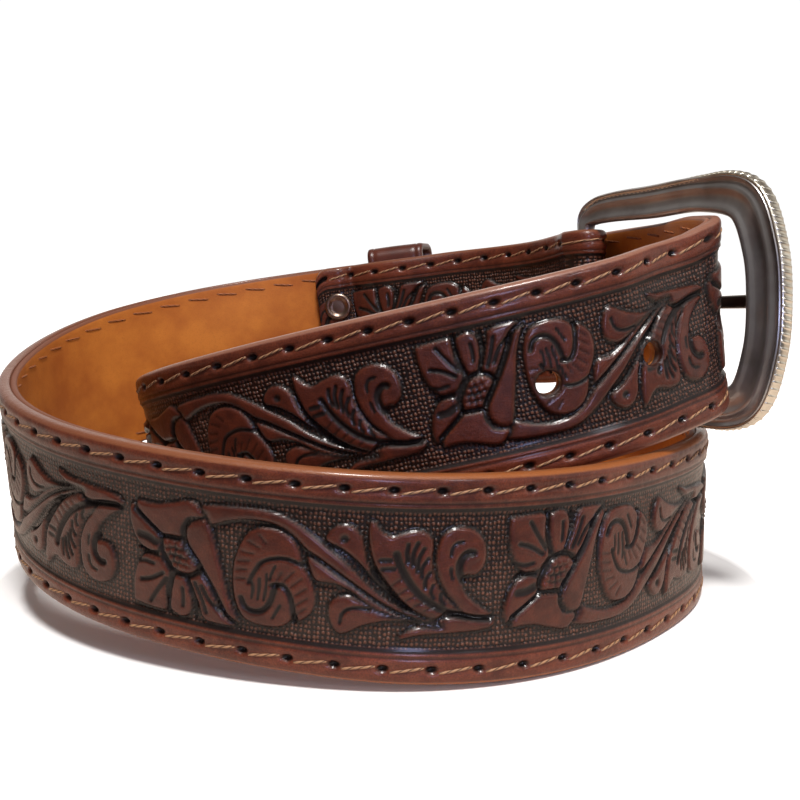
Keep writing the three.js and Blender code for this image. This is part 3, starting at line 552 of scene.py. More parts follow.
class ToolingMap:
    """Height, darkness of the cuts and raised parts over one unit of the pattern."""

    def __init__(self):
        u = UNIT_START + MAP_STEP * np.arange(round(UNIT_LENGTH / MAP_STEP) + 1)
        v = MAP_STEP * np.arange(round(STRAP_WIDTH / MAP_STEP) + 1)
        self.x, self.y = np.meshgrid(u, v, indexing="ij")
        self.height = np.full(self.x.shape, GROUND)
        self.raised = np.zeros(self.x.shape)
        self.cut = np.zeros(self.x.shape)
        for shape in SHAPES:
            self.raise_shape(smooth_line(shape, True))
        for width, depth, points in CUTS:
            self.carve(smooth_line(points, False), width * CUT_WIDENING, depth, 1)
        for rung in RUNGS:
            self.carve(np.array(rung), *RUNG)
        for dot in DOTS:
            self.add_dot(*dot)
        self.cut = np.clip(self.cut, 0, 1)

    def window(self, line, reach):
        low, high = line.min(0) - reach, line.max(0) + reach
        rows = np.nonzero((self.x[:, 0] > low[0]) & (self.x[:, 0] < high[0]))[0]
        columns = np.nonzero((self.y[0] > low[1]) & (self.y[0] < high[1]))[0]
        return slice(rows[0], rows[-1] + 1), slice(columns[0], columns[-1] + 1)

    def raise_shape(self, line):
        here = self.window(line, BEVEL_REACH)
        x, y = self.x[here], self.y[here]
        inside = is_inside(line, x, y)
        away = distance_to(line, x, y)
        height, raised, cut = self.height[here], self.raised[here], self.cut[here]
        bevel = np.clip(1 - away / BEVEL_REACH, 0, 1)
        foot = np.where(raised > 0.5, BETWEEN_SHAPES, GROUND)
        crown = CROWN * (1 - np.exp(-away / CROWN_REACH))
        top = foot - foot * eased(away / EDGE_ROUNDING) + crown
        lowered = height - BEVEL * bevel * np.where(raised > 0.5, 1.4, 0.6)
        height[:] = np.where(inside, top, lowered)
        cut[:] = np.where(inside, 0.75 * np.clip(1 - away / 0.4, 0, 1), np.maximum(cut, bevel ** 2 * 0.7))
        raised[:] = np.where(inside, eased(away / EDGE_ROUNDING + 0.15), raised * (1 - 0.5 * bevel))

    def carve(self, line, width, depth, dark):
        here = self.window(line, width)
        across = distance_to(line, self.x[here], self.y[here]) / (width / 2)
        groove = np.clip(1 - across ** 2, 0, 1)
        lip = np.exp(-((across - 1.5) / 0.5) ** 2) * 0.12
        self.height[here] += depth * (lip - groove)
        self.cut[here] = np.maximum(self.cut[here], dark * np.clip(1.25 - across, 0, 1) ** 0.7)

    def add_dot(self, middle, radius, rise, dark):
        across = np.hypot(self.x - middle[0], self.y - middle[1]) / radius
        inside = np.clip(1 - across ** 2, 0, 1)
        self.height += rise * inside
        self.cut += dark * inside


def unit_place(s):
    """The unit's own place along it, and which way up it is."""
    starts = np.array([FLOWERS[0][0] - UNIT_LENGTH, *(at for at, _ in FLOWERS)]) + UNIT_START
    ways = np.array([-FLOWERS[0][1], *(way for _, way in FLOWERS)])
    i = np.clip(np.searchsorted(starts, s, side="right") - 1, 0, len(starts) - 2)
    along = (s - starts[i]) / (starts[i + 1] - starts[i])
    return UNIT_START + along * UNIT_LENGTH, ways[i]


def read_map(values, u, v):
    x = np.clip((u - UNIT_START) / MAP_STEP, 0, values.shape[0] - 1.001)
    y = np.clip(v / MAP_STEP, 0, values.shape[1] - 1.001)
    i, j = x.astype(int), y.astype(int)
    a, b = x - i, y - j
    near = values[i, j] * (1 - b) + values[i, j + 1] * b
    far = values[i + 1, j] * (1 - b) + values[i + 1, j + 1] * b
    return near * (1 - a) + far * a


def stitch_number(s):
    return np.interp(s, STITCH_PLACES, STITCH_NUMBERS)


def stitch_pits(s, v):
    number = stitch_number(s)
    in_eight = stitch_number(s + 4) - stitch_number(s - 4)
    along = (number - np.round(number)) * 8 / np.maximum(in_eight, 0.5)
    pits, channel = np.zeros(len(s)), np.zeros(len(s))
    for row in STITCH_ROWS:
        pits += np.exp(-((along / PIT_LENGTH) ** 2 + ((v - row) / PIT_WIDTH) ** 2) ** 1.5)
        channel += np.exp(-((v - row) / CHANNEL_WIDTH) ** 4)
    return pits, channel


def hole_rims(s, v):
    rims = np.zeros(len(s))
    for place, height in holes:
        away = np.hypot(s - place, v - height) - HOLE_RADIUS
        rims = np.maximum(rims, np.clip(1 - away / DISH_WIDTH, 0, 1))
    return rims


def pressed(line, from_edge):
    beyond, half, _ = line
    return np.clip(1 - ((from_edge - FIELD_EDGE + beyond) / half) ** 2, 0, 1)


def face_relief(s, v, tooling):
    """Rise of the face, darkness and raised part at places along and up the strap."""
    u, way = unit_place(s)
    w = np.where(way < 0, v, STRAP_WIDTH - v)
    from_edge = np.minimum(v, STRAP_WIDTH - v)
    to_tip = strap.length - s
    present = eased((to_tip - FADE_AT_TIP[1]) / (FADE_AT_TIP[0] - FADE_AT_TIP[1]))
    field = eased((from_edge - FIELD_EDGE) / FIELD_SLOPE)
    tooled = field * present
    height = read_map(tooling.height, u, w)
    cut = read_map(tooling.cut, u, w) * tooled
    raised = 1 - tooled * (1 - read_map(tooling.raised, u, w))
    groove, second = pressed(GROOVE, from_edge), pressed(SECOND_GROOVE, from_edge)
    crown = BORDER_CROWN * np.sin(np.pi * np.clip((from_edge - 0.6) / (FIELD_EDGE - 1.8), 0, 1))
    pits, channel = stitch_pits(s, v)
    rims = hole_rims(s, v)
    rise = height * tooled + crown - GROOVE[2] * groove - SECOND_GROOVE[2] * second
    rise -= STITCH_CHANNEL * channel
    rise = rise * (1 - rims) - PIT_DEPTH * pits - DISH_DEPTH * rims ** 2
    cut = np.maximum.reduce([cut * (1 - rims), 0.9 * groove, 0.5 * second, pits, 0.5 * rims])
    return rise, cut, raised


# Solids in the strap's own millimetres: along it, up its face, and outwards

def activate(obj):
    bpy.ops.object.select_all(action="DESELECT")
    obj.select_set(True)
    bpy.context.view_layer.objects.active = obj


def coordinates(obj):
    values = np.empty(len(obj.data.vertices) * 3)
    obj.data.vertices.foreach_get("co", values)
    return values.reshape(-1, 3)


def move_vertices(obj, points):
    obj.data.vertices.foreach_set("co", np.asarray(points, float).ravel())
    obj.data.update()


def named(obj, name):
    obj.name = name
    obj.data.name = name
    return obj


def skinned(name, points):
    """Closed skin over rows of points. Each row goes round and ends where it starts."""
    rows, columns = points.shape[:2]
    bpy.ops.object.select_all(action="DESELECT")
    bpy.ops.mesh.primitive_grid_add(x_subdivisions=columns - 1, y_subdivisions=rows - 1, size=1)
    obj = named(bpy.context.object, name)
    move_vertices(obj, points.reshape(-1, 3))
    bpy.ops.object.mode_set(mode="EDIT")
    bpy.ops.mesh.select_all(action="SELECT")
    bpy.ops.mesh.remove_doubles(threshold=0.0005)
    bpy.ops.mesh.fill_holes(sides=0)
    bpy.ops.mesh.select_all(action="SELECT")
    bpy.ops.mesh.normals_make_consistent(inside=False)
    bpy.ops.object.mode_set(mode="OBJECT")
    return obj


def even_steps(start, end, step):
    return np.linspace(start, end, round((end - start) / step) + 1)


def full_circle(step):
    return np.radians(np.arange(0, 361, step))


def swept_flat(name, stations, outline):
    outline = np.array([*outline, outline[0]])
    points = np.empty((len(stations), len(outline), 3))
    points[:, :, 0] = stations[:, None]
    points[:, :, 1:] = outline
    return skinned(name, points)


def leather_outline(face_step):
    """Round the leather's section: glued back, burnished edges and a finely divided face."""
    corner = [(EDGE_RADIUS * (1 - math.cos(a)), EDGE_RADIUS * (1 - math.sin(a)))
              for a in np.radians([0, 18, 36, 54, 72])]
    low = [(h, FACE - d) for h, d in corner]
    high = [(STRAP_WIDTH - h, d) for h, d in reversed(low)]
    face = [(h, FACE) for h in even_steps(EDGE_RADIUS, STRAP_WIDTH - EDGE_RADIUS, face_step)]
    back = [(h, GLUE) for h in even_steps(STRAP_WIDTH - 0.3, 0.3, -7.0)]
    return [(0, 0.3), (0, 0.95), *low, *face, *high, (STRAP_WIDTH, 0.95), (STRAP_WIDTH, 0.3), *back]


def lining_outline():
    back = -HALF_GAP - LINING
    low = [(0.35, -0.35), (0.3, -0.8), (0.42, back + 0.3), (0.72, back + 0.06)]
    high = [(STRAP_WIDTH - h, d) for h, d in reversed(low)]
    face = [(h, back) for h in even_steps(1.1, STRAP_WIDTH - 1.1, 0.75)]
    glued = [(h, -GLUE) for h in even_steps(STRAP_WIDTH - 0.6, 0.6, -6.0)]
    return [*low, *face, *high, *glued]


def punch(obj, middle, height, half_length, radius):
    """Cuts a round hole, or a slot with round ends, straight through the flat leather."""
    bpy.ops.object.select_all(action="DESELECT")
    bpy.ops.mesh.primitive_cylinder_add(vertices=56, radius=radius, depth=20)
    cutter = bpy.context.object
    points = coordinates(cutter)
    points[:, 0] += np.where(points[:, 0] > 0, half_length, -half_length) + middle
    points[:, 1] += height
    move_vertices(cutter, points)
    activate(obj)
    cut = obj.modifiers.new("cut", "BOOLEAN")
    cut.solver = "MANIFOLD"
    cut.object = cutter
    bpy.ops.object.modifier_apply(modifier=cut.name)
    bpy.data.meshes.remove(cutter.data)


def punch_holes(obj, start, end):
    for i, (place, height) in enumerate(holes):
        if start < place < end:
            punch(obj, place, height, DRAWN_OUT if i == PRONG_HOLE else 0, HOLE_RADIUS)


def narrowing(s):
    """How much of its width the strap has, at its rounded tip and the flap's rounded end."""
    from_tip = np.clip(strap.length - s, 0, TIP_LENGTH)
    round_tip = np.sqrt(1 - ((TIP_LENGTH - from_tip) / TIP_LENGTH) ** 2)
    tip = TIP_BLUNT + (1 - TIP_BLUNT) * round_tip
    start = np.clip(FLAP_CORNER - s, 0, FLAP_CORNER)
    flap = (MID - FLAP_CORNER + np.sqrt(FLAP_CORNER ** 2 - start ** 2)) / MID
    return tip * flap


def keep_values(obj, **values):
    for name, numbers in values.items():
        flat = np.asarray(numbers, float)
        kind = "FLOAT" if flat.ndim == 1 else "FLOAT_VECTOR"
        attribute = obj.data.attributes.new(name, kind, "POINT")
        attribute.data.foreach_set("value" if kind == "FLOAT" else "vector", flat.ravel())


def lay(obj, points, path):
    """Puts a flat piece on its path and turns millimetres into metres."""
    laid = points.copy()
    laid[:, 1] = MID + (points[:, 1] - MID) * (narrowing(points[:, 0]) if path is strap else 1)
    move_vertices(obj, path.place(laid) * MM)
    activate(obj)
    bpy.ops.object.shade_smooth()


def finished(obj, material, slot, *nodes):
    obj.data.materials.clear()
    obj.data.materials.append(material)
    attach(obj, "root")
    if nodes:
        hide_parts(*nodes)


def leather_length(name, start, end, tooling):
    stations = even_steps(start, end, ROW_STEP)
    obj = swept_flat(name, stations, leather_outline(FACE_STEP))
    if start < strap.fold[0] < end:
        punch(obj, sum(strap.fold) / 2, MID, *FOLD_SLOT)
    punch_holes(obj, start, end)
    points = coordinates(obj)
    rise, cut, raised = face_relief(points[:, 0], points[:, 1], tooling)
    on_face = eased((points[:, 2] - FACE + RELIEF_ENDS[0]) / RELIEF_ENDS[1])
    from_edge = np.minimum(points[:, 1], STRAP_WIDTH - points[:, 1])
    raw_edge = eased((RAW_EDGE[0] - from_edge) / RAW_EDGE[1])
    keep_values(obj, place=points, cut=cut * on_face, raised=raised, raw_edge=raw_edge)
    points[:, 2] += rise * on_face
    lay(obj, points, strap)
    finished(obj, tooled_leather, "tooled_leather", "strap")


def make_strap():
    tooling = ToolingMap()
    for i, start in enumerate(LENGTHS):
        end = LENGTHS[i + 1] if i + 1 < len(LENGTHS) else strap.length - END_TRIM
        leather_length(f"strap_length_{i + 1}", max(start, END_TRIM), end, tooling)


def make_lining():
    stations = even_steps(lining_start, strap.length - LINING_TRIM, LINING_STEP)
    obj = swept_flat("lining", stations, lining_outline())
    punch_holes(obj, lining_start, strap.length)
    points = coordinates(obj)
    keep_values(obj, place=points)
    lay(obj, points, strap)
    finished(obj, lining_leather, "lining_leather", "lining")


# Stitches

def thread_middle(t):
    """Across the row and outwards, at a part of the stitch's length."""
    return STITCH_SLANT * (t - 0.55), -STITCH_SINK * np.abs(2 * t - 1) ** 8


def one_stitch(name):
    """A stitch for a pitch of 1, from the side of one hole up to the side of the next."""
    rings, sides = 10, 8
    points = np.empty((rings + 1, sides + 1, 3))
    turned = 2 * np.pi * (np.arange(sides + 1) % sides) / sides
    for i in range(rings + 1):
        t = i / rings
        across, out = thread_middle(t)
        radius = THREAD * (STITCH_TAPER if i in (0, rings) else 1)
        points[i, :, 0] = STITCH_START + STITCH_LENGTH * t
        points[i, :, 1] = radius * np.cos(turned) + across
        points[i, :, 2] = radius * np.sin(turned) + out
    obj = skinned(name, points)
    points = coordinates(obj)
    t = (points[:, 0] - STITCH_START) / STITCH_LENGTH
    across, out = thread_middle(t)
    twist = [2 * np.pi * THREAD_TURNS * t, (points[:, 1] - across) / THREAD, (points[:, 2] - out) / THREAD]
    keep_values(obj, twist=np.stack(twist, -1))
    return obj


def repeated(obj, count, step):
    """Makes the piece a row of copies, a step apart, and gives their points."""
    activate(obj)
    row = obj.modifiers.new("row", "ARRAY")
    row.use_relative_offset = False
    row.use_constant_offset = True
    row.constant_offset_displace = (step, 0, 0)
    row.count = count
    bpy.ops.object.modifier_apply(modifier=row.name)
    return coordinates(obj)


def stitch_row(name, first, last, height, depth, side):
    obj = one_stitch(name)
    points = repeated(obj, last - first, 1)
    points[:, 0] = np.interp(points[:, 0] + first, STITCH_NUMBERS, STITCH_PLACES)
    points[:, 1] += height
    points[:, 2] = depth + side * (points[:, 2] + THREAD_RISE)
    if side < 0:
        turn_inside_out(obj)
    lay(obj, points, strap)
    finished(obj, face_thread if side > 0 else back_thread, "tooled_leather")


def turn_inside_out(obj):
    activate(obj)
    bpy.ops.object.mode_set(mode="EDIT")
    bpy.ops.mesh.select_all(action="SELECT")
    bpy.ops.mesh.flip_normals()
    bpy.ops.object.mode_set(mode="OBJECT")


def make_stitches():
    back = -HALF_GAP - LINING + SUNK_IN_LINING
    for place, height in zip(("lower", "upper"), STITCH_ROWS):
        stitch_row(f"stitches_{place}", 0, LAST_STITCH, height, FACE - STITCH_CHANNEL, 1)
        stitch_row(f"lining_stitches_{place}", FIRST_ON_LINING, LAST_STITCH, height, back, -1)


# Keeper and snaps

def rounded_box(low, high, inside, outside):
    """Closed loop in height and depth with rounded corners, and its outward directions."""
    corners = [(high, outside, 0), (low, outside, 90), (low, inside, 180), (high, inside, 270)]
    middle, outwards = [], []
    for i, (height, depth, start) in enumerate(corners):
        for degrees in range(start, start + 91, 10):
            way = np.array([math.cos(math.radians(degrees)), math.sin(math.radians(degrees))])
            middle.append(np.array([height, depth]) + KEEPER_CORNER * way)
            outwards.append(way)
        bent, unbent = middle[-1], np.array(corners[(i + 1) % 4][:2]) + KEEPER_CORNER * way
        for t in even_steps(0, 1, 1 / 12)[1:-1]:
            middle.append(bent * (1 - t) + unbent * t)
            outwards.append(way)
    return np.array([*middle, middle[0]]), np.array([*outwards, outwards[0]])


def make_keeper():
    half, thick = KEEPER_WIDTH / 2, KEEPER_THICKNESS / 2
    inside = -HALF_GAP - LINING - GAP - thick + KEEPER_CORNER
    outside = tail_offset + FACE + GAP + thick - KEEPER_CORNER
    low = -GAP * 2 - thick + KEEPER_CORNER
    high = STRAP_WIDTH + KEEPER_HEADROOM + thick - KEEPER_CORNER
    middle, outwards = rounded_box(low, high, inside, outside)
    near = [(x - half, rise) for x, rise in KEEPER_FACE]
    far = [(half - x, rise) for x, rise in reversed(KEEPER_FACE)]
    back = [(half, -0.6), (half - 0.5, -thick), (0, -thick), (0.5 - half, -thick), (-half, -0.6)]
    strip = np.array([*near, (0, 1.08), *far, *back, near[0]])
    points = np.empty((len(middle), len(strip), 3))
    points[:, :, 0] = KEEPER_AT + strip[:, 0]
    points[:, :, 1:] = middle[:, None] + outwards[:, None] * strip[:, 1, None]
    obj = skinned("keeper", points)
    keep_values(obj, place=coordinates(obj))
    lay(obj, coordinates(obj), turns)
    finished(obj, keeper_leather, "keeper_leather", "keeper")


def make_snap(name, height):
    seat = -SNAP_INWARDS - HALF_GAP - LEATHER - SNAP_CLEAR
    angles = full_circle(7.5)
    points = np.empty((len(SNAP_PROFILE), len(angles), 3))
    for i, (radius, rise) in enumerate(SNAP_PROFILE):
        points[i, :, 0] = SNAP_AT + radius * np.cos(angles)
        points[i, :, 1] = height + radius * np.sin(angles)
        points[i, :, 2] = seat - rise
    points[:, -1] = points[:, 0]
    obj = skinned(name, points)
    lay(obj, coordinates(obj), turns)
    finished(obj, snap_metal, "snap_metal", name)


# Buckle

def bow_at(along):
    half = BUCKLE_LENGTH / 2
    return BUCKLE_BOW * np.maximum(0, 1 - ((along - half) / half) ** 2)


def rail_line(rows, steps, closed):
    """The middle of the rail with its width, and its heading at every point."""
    line = smooth_line(rows, closed, steps)
    ahead, behind = np.roll(line, -1, 0), np.roll(line, 1, 0)
    ahead[-1], behind[0] = (line[1], line[-2]) if closed else (line[-1], line[0])
    return line, unit((ahead - behind)[:, :2])


def make_buckle():
    lower = [(along, -up, width) for along, up, width in RAIL[-2:0:-1]]
    line, heading = rail_line(RAIL + lower, 14, True)
    section = np.array([*RAIL_SECTION, RAIL_SECTION[0]])
    turned = np.arctan2(section[:, 1] / SECTION_HEIGHT, section[:, 0])
    bar = np.stack([np.cos(turned), np.sin(turned)], -1) * BAR_RADIUS
    flare = eased((line[:, 2] - FLARE[0]) / FLARE[1])[:, None]
    half = line[:, 2:3] / 2
    across = bar[:, 0] * (1 - flare) + section[:, 0] * half * flare
    out = bar[:, 1] * (1 - flare) + section[:, 1] * flare + bow_at(line[:, :1])
    along = line[:, :1] - heading[:, 1:] * across
    up = line[:, 1:2] + heading[:, :1] * across
    rails = skinned("buckle_frame", in_buckle(along, out, up) - MIDDLE)
    smooth_in_metres(rails, 50)
    finished(rails, buckle_metal, "buckle_metal", "buckle_frame")
    rim = Rim()
    make_rim_band(rim)
    make_rope_rim(rim)


def smooth_in_metres(obj, degrees):
    move_vertices(obj, coordinates(obj) * MM)
    activate(obj)
    bpy.ops.object.shade_smooth_by_angle(angle=math.radians(degrees))


class Rim:
    """The outer rim of the rails and the far bar, by distance from one heel corner to the other."""

    def __init__(self):
        rows = RAIL[2:] + [(along, -up, width) for along, up, width in RAIL[-2:1:-1]]
        self.line, self.heading = rail_line(rows, 24, False)
        steps = np.linalg.norm(np.diff(self.line[:, :2], axis=0), axis=1)
        self.gone = np.concatenate([[0], np.cumsum(steps)])
        self.length = self.gone[-1]

    def place(self, at, ahead, beyond, out):
        x, y, width = (np.interp(at, self.gone, self.line[:, i]) for i in range(3))
        along, side = (np.interp(at, self.gone, self.heading[:, i]) for i in range(2))
        risen = eased((x - RIM_RISES[0]) / (RIM_RISES[1] - RIM_RISES[0]))
        across = width / 2 + beyond - RIM_SUNK * (1 - risen)
        forward, up = x - side * across + along * ahead, y + along * across + side * ahead
        return in_buckle(forward, out + bow_at(x), up) - MIDDLE


def make_rim_band(rim):
    at = even_steps(0.0, rim.length, 0.7)[:, None]
    turned = full_circle(24)
    end = np.sqrt(np.clip(np.minimum(at, rim.length - at) / 2, 0.05, 1))
    beyond = BAND_BEYOND + BAND_HALF[0] * np.cos(turned) * end
    out = RIM_OUT + BAND_HALF[1] * np.sin(turned) * end
    obj = skinned("rim_band", rim.place(at + 0 * beyond, 0, beyond, out))
    smooth_in_metres(obj, 60)
    finished(obj, rim_metal, "buckle_metal")


def make_rope_rim(rim):
    """Slanting ribs, close together, across the wall of the rim."""
    count = round(rim.length / RIB_PITCH)
    bpy.ops.object.select_all(action="DESELECT")
    bpy.ops.mesh.primitive_uv_sphere_add(segments=12, ring_count=8, radius=1)
    ribs = named(bpy.context.object, "rope_rim")
    ball = coordinates(ribs) * RIB_HALF
    slant = math.radians(RIB_SLANT)
    leaned = ball.copy()
    leaned[:, 0] = ball[:, 0] * math.cos(slant) + ball[:, 2] * math.sin(slant)
    leaned[:, 2] = ball[:, 2] * math.cos(slant) - ball[:, 0] * math.sin(slant)
    move_vertices(ribs, leaned)
    points = repeated(ribs, count - 1, RIBS_APART)
    number = np.round(points[:, 0] / RIBS_APART)
    ahead = points[:, 0] - number * RIBS_APART
    at = rim.length * (number + 1) / count
    move_vertices(ribs, rim.place(at, ahead, RIB_BEYOND + points[:, 1], RIM_OUT + points[:, 2]))
    smooth_in_metres(ribs, 60)
    finished(ribs, rim_metal, "buckle_metal")


def make_prong():
    knots = np.array([row[0] for row in PRONG], float)
    out_at = smooth_through(knots, np.array([row[1] for row in PRONG], float))
    width_at = level_through(knots, np.array([row[2] for row in PRONG], float))
    along = even_steps(knots[0], knots[-1], 0.8)
    angles = full_circle(15)
    round_up, round_out = (np.sign(f) * np.abs(f) ** 0.7 for f in (np.cos(angles), np.sin(angles)))
    blunt = np.sqrt(np.clip((knots[-1] + 0.15 - along) / 1.6, 0.06, 1))[:, None]
    up = round_up * (width_at(along) / 2)[:, None] * blunt
    out = round_out * PRONG_THICKNESS / 2 * blunt + out_at(along)[:, None]
    shank = skinned("prong", in_buckle(along[:, None] + 0 * up, out, up) - MIDDLE)
    radius, half_thickness, half_width = PRONG_EYE
    ring, tube = full_circle(10), full_circle(30)
    away = radius + half_thickness * np.cos(tube)
    eye_along, eye_out = np.cos(ring)[:, None] * away, np.sin(ring)[:, None] * away
    eye_up = half_width * np.sin(tube) + 0 * eye_out
    eye = skinned("prong_eye", in_buckle(eye_along, eye_out, eye_up) - MIDDLE)
    for obj in (shank, eye):
        smooth_in_metres(obj, 50)
    activate(shank)
    eye.select_set(True)
    bpy.ops.object.join()
    finished(shank, prong_metal, "prong_metal", "prong")


# Finishes

def srgb(red, green, blue):
    def linear(value):
        value /= 255
        return value / 12.92 if value <= 0.04045 else ((value + 0.055) / 1.055) ** 2.4
    return (linear(red), linear(green), linear(blue), 1)


class Nodes:
    """Short calls for the nodes of a material or of the world."""

    def __init__(self, tree):
        self.nodes = tree.nodes
        self.links = tree.links

    def join(self, value, socket):
        if isinstance(value, bpy.types.NodeSocket):
            self.links.new(value, socket)
        else:
            socket.default_value = value

    def texture_place(self, kind):
        return self.nodes.new("ShaderNodeTexCoord").outputs[kind]

    def seen(self):
        return self.nodes.new("ShaderNodeLightPath").outputs["Is Camera Ray"]

    def attribute(self, name, vector=False):
        node = self.nodes.new("ShaderNodeAttribute")
        node.attribute_name = name
        return node.outputs["Vector" if vector else "Fac"]

    def parts(self, vector):
        node = self.nodes.new("ShaderNodeSeparateXYZ")
        self.join(vector, node.inputs[0])
        return list(node.outputs)

    def stretched(self, vector, scale):
        node = self.nodes.new("ShaderNodeMapping")
        self.join(vector, node.inputs["Vector"])
        node.inputs["Scale"].default_value = scale
        return node.outputs["Vector"]

    def length(self, vector):
        node = self.nodes.new("ShaderNodeVectorMath")
        node.operation = "LENGTH"
        self.join(vector, node.inputs[0])
        return node.outputs["Value"]

    def noise(self, vector, scale, detail, roughness):
        node = self.nodes.new("ShaderNodeTexNoise")
        self.join(vector, node.inputs["Vector"])
        for name, number in (("Scale", scale), ("Detail", detail), ("Roughness", roughness)):
            node.inputs[name].default_value = number
        return node.outputs["Fac"]

    def cells(self, vector, scale, randomness):
        node = self.nodes.new("ShaderNodeTexVoronoi")
        self.join(vector, node.inputs["Vector"])
        node.inputs["Scale"].default_value = scale
        node.inputs["Randomness"].default_value = randomness
        return node.outputs["Distance"]

    def ranged(self, value, low, high, to_low=0.0, to_high=1.0):
        node = self.nodes.new("ShaderNodeMapRange")
        self.join(value, node.inputs["Value"])
        ends = {"From Min": low, "From Max": high, "To Min": to_low, "To Max": to_high}
        for name, number in ends.items():
            node.inputs[name].default_value = number
        return node.outputs["Result"]

    def maths(self, operation, *values):
        node = self.nodes.new("ShaderNodeMath")
        node.operation = operation
        for value, socket in zip(values, node.inputs):
            self.join(value, socket)
        return node.outputs[0]

    def mixed(self, amount, a, b):
        node = self.nodes.new("ShaderNodeMix")
        node.data_type = "RGBA"
        for name, value in (("Factor", amount), ("A", a), ("B", b)):
            self.join(value, node.inputs[name])
        return node.outputs["Result"]

    def bump(self, height, distance, strength=1.0, under=None):
        node = self.nodes.new("ShaderNodeBump")
        self.join(height, node.inputs["Height"])
        node.inputs["Distance"].default_value = distance * MM
        self.join(strength, node.inputs["Strength"])
        if under is not None:
            self.join(under, node.inputs["Normal"])
        return node.outputs["Normal"]


class Finish(Nodes):
    """A material and its shader."""

    def __init__(self, name, roughness, metallic=0.0):
        self.material = bpy.data.materials.new(name)
        self.material.use_nodes = True
        super().__init__(self.material.node_tree)
        self.shader = self.nodes["Principled BSDF"]
        self.set("Roughness", roughness)
        self.set("Metallic", metallic)

    def set(self, name, value):
        self.join(value, self.shader.inputs[name])


def from_middle(f, up):
    return f.maths("ABSOLUTE", f.maths("SUBTRACT", up, MID))


def burnished_edge_and_sheen(f, along, grain):
    """Brown near the buckle, golden half way round, and reddish brown towards the tip, where its pinkish
    grey is partly a painted highlight along the rim.
    """
    golden = f.ranged(along, 330, 420)
    colour = f.mixed(golden, srgb(112, 66, 46), f.mixed(grain, srgb(160, 96, 48), srgb(124, 66, 34)))
    # Towards the tip the pinkish grey is partly the raw edge's own colour and partly a painted highlight
    # along the rim
    later = f.ranged(along, 560, 620)
    return f.mixed(later, colour, f.mixed(grain, srgb(150, 104, 84), srgb(118, 76, 60)))


def clouds_and_grain(f, cloud_scale, grain_scale, roughness):
    """What every leather has: slow clouds of colour and a fine grain."""
    place = f.attribute("place", True)
    clouds = f.ranged(f.noise(place, cloud_scale, 4, 0.6), 0.35, 0.65)
    return place, clouds, f.noise(place, grain_scale, 4, roughness)


def make_tooled_leather():
    f = Finish("tooled leather", 0.4)
    place, clouds, grain = clouds_and_grain(f, 0.08, 3.2, 0.65)
    along, up, _ = f.parts(place)
    raised, cut, raw_edge = f.attribute("raised"), f.attribute("cut"), f.attribute("raw_edge")
    border = f.ranged(from_middle(f, up), MID - BORDER - 0.5, MID - BORDER - 0.1)
    wear = f.ranged(f.noise(place, 0.55, 5, 0.65), 0.42, 0.7)
    mottle = f.ranged(f.noise(place, 1.1, 4, 0.65), 0.36, 0.62)
    relief = f.mixed(clouds, srgb(64, 26, 17), srgb(86, 38, 26))
    relief = f.mixed(f.maths("MULTIPLY", wear, 0.75), relief, srgb(112, 54, 36))
    relief = f.mixed(f.maths("MULTIPLY", mottle, 0.4), relief, srgb(50, 19, 14))
    edging = f.mixed(clouds, srgb(74, 31, 20), srgb(110, 52, 34))
    relief = f.mixed(border, relief, f.mixed(f.maths("MULTIPLY", wear, 0.5), edging, srgb(128, 68, 46)))
    dots = f.ranged(f.cells(f.stretched(place, (1.25, 1.1, 0.0)), 1.0, 0.35), 0.5, 0.2)
    ground = f.mixed(dots, srgb(20, 11, 9), srgb(112, 72, 56))
    colour = f.mixed(f.ranged(raised, 0.2, 0.95), ground, relief)
    colour = f.mixed(f.ranged(grain, 0.4, 0.7, 0, 0.55), colour, srgb(34, 14, 10))
    colour = f.mixed(f.ranged(cut, 0.05, 0.6, 0, 0.95), colour, srgb(9, 5, 4))
    f.set("Base Color", f.mixed(raw_edge, colour, burnished_edge_and_sheen(f, along, grain)))
    pebble = f.bump(dots, 0.3, f.ranged(raised, 0.5, 0.1))
    uneven = f.bump(mottle, 0.06, 0.5, pebble)
    f.set("Normal", f.bump(grain, 0.09, 1.0, uneven))
    f.set("Roughness", f.maths("ADD", f.ranged(wear, 0, 1, 0.42, 0.3), f.ranged(cut, 0.3, 1, 0, 0.35)))
    f.set("Specular IOR Level", 0.25)
    f.set("Coat Weight", 0.3)
    f.set("Coat Roughness", 0.16)
    return f.material


def make_lining_leather():
    f = Finish("lining leather", 0.55)
    place, clouds, grain = clouds_and_grain(f, 0.06, 2.2, 0.7)
    colour = f.mixed(clouds, srgb(160, 86, 30), srgb(192, 115, 43))
    colour = f.mixed(f.ranged(grain, 0.5, 0.8, 0, 0.3), colour, srgb(116, 60, 26))
    along, up, _ = f.parts(place)
    edge = f.ranged(from_middle(f, up), MID - 1.0, MID - 0.75)
    f.set("Base Color", f.mixed(edge, colour, burnished_edge_and_sheen(f, along, grain)))
    f.set("Normal", f.bump(grain, 0.08, 0.6))
    f.set("Specular IOR Level", 0.3)
    return f.material


def make_keeper_leather():
    f = Finish("keeper leather", 0.36)
    _, clouds, grain = clouds_and_grain(f, 0.12, 3.0, 0.7)
    colour = f.mixed(clouds, srgb(64, 28, 20), srgb(88, 42, 30))
    f.set("Base Color", f.mixed(f.ranged(grain, 0.45, 0.8, 0, 0.4), colour, srgb(36, 16, 12)))
    f.set("Normal", f.bump(grain, 0.06, 0.6))
    return f.material


def make_thread(name, dark, light):
    """Two-ply thread: the twist is a dark winding line of painted shade in the groove between the plies,
    and a bump.
    """
    f = Finish(name, 0.6)
    turned, across, out = f.parts(f.attribute("twist", True))
    around = f.maths("MULTIPLY", f.maths("ARCTAN2", out, across), 2.0)
    ply = f.ranged(f.maths("SINE", f.maths("ADD", turned, around)), -1, -0.2)
    # The dark colour is painted shade in the groove between the plies
    f.set("Base Color", f.mixed(ply, dark, light))
    f.set("Normal", f.bump(ply, 0.2, 0.8))
    return f.material


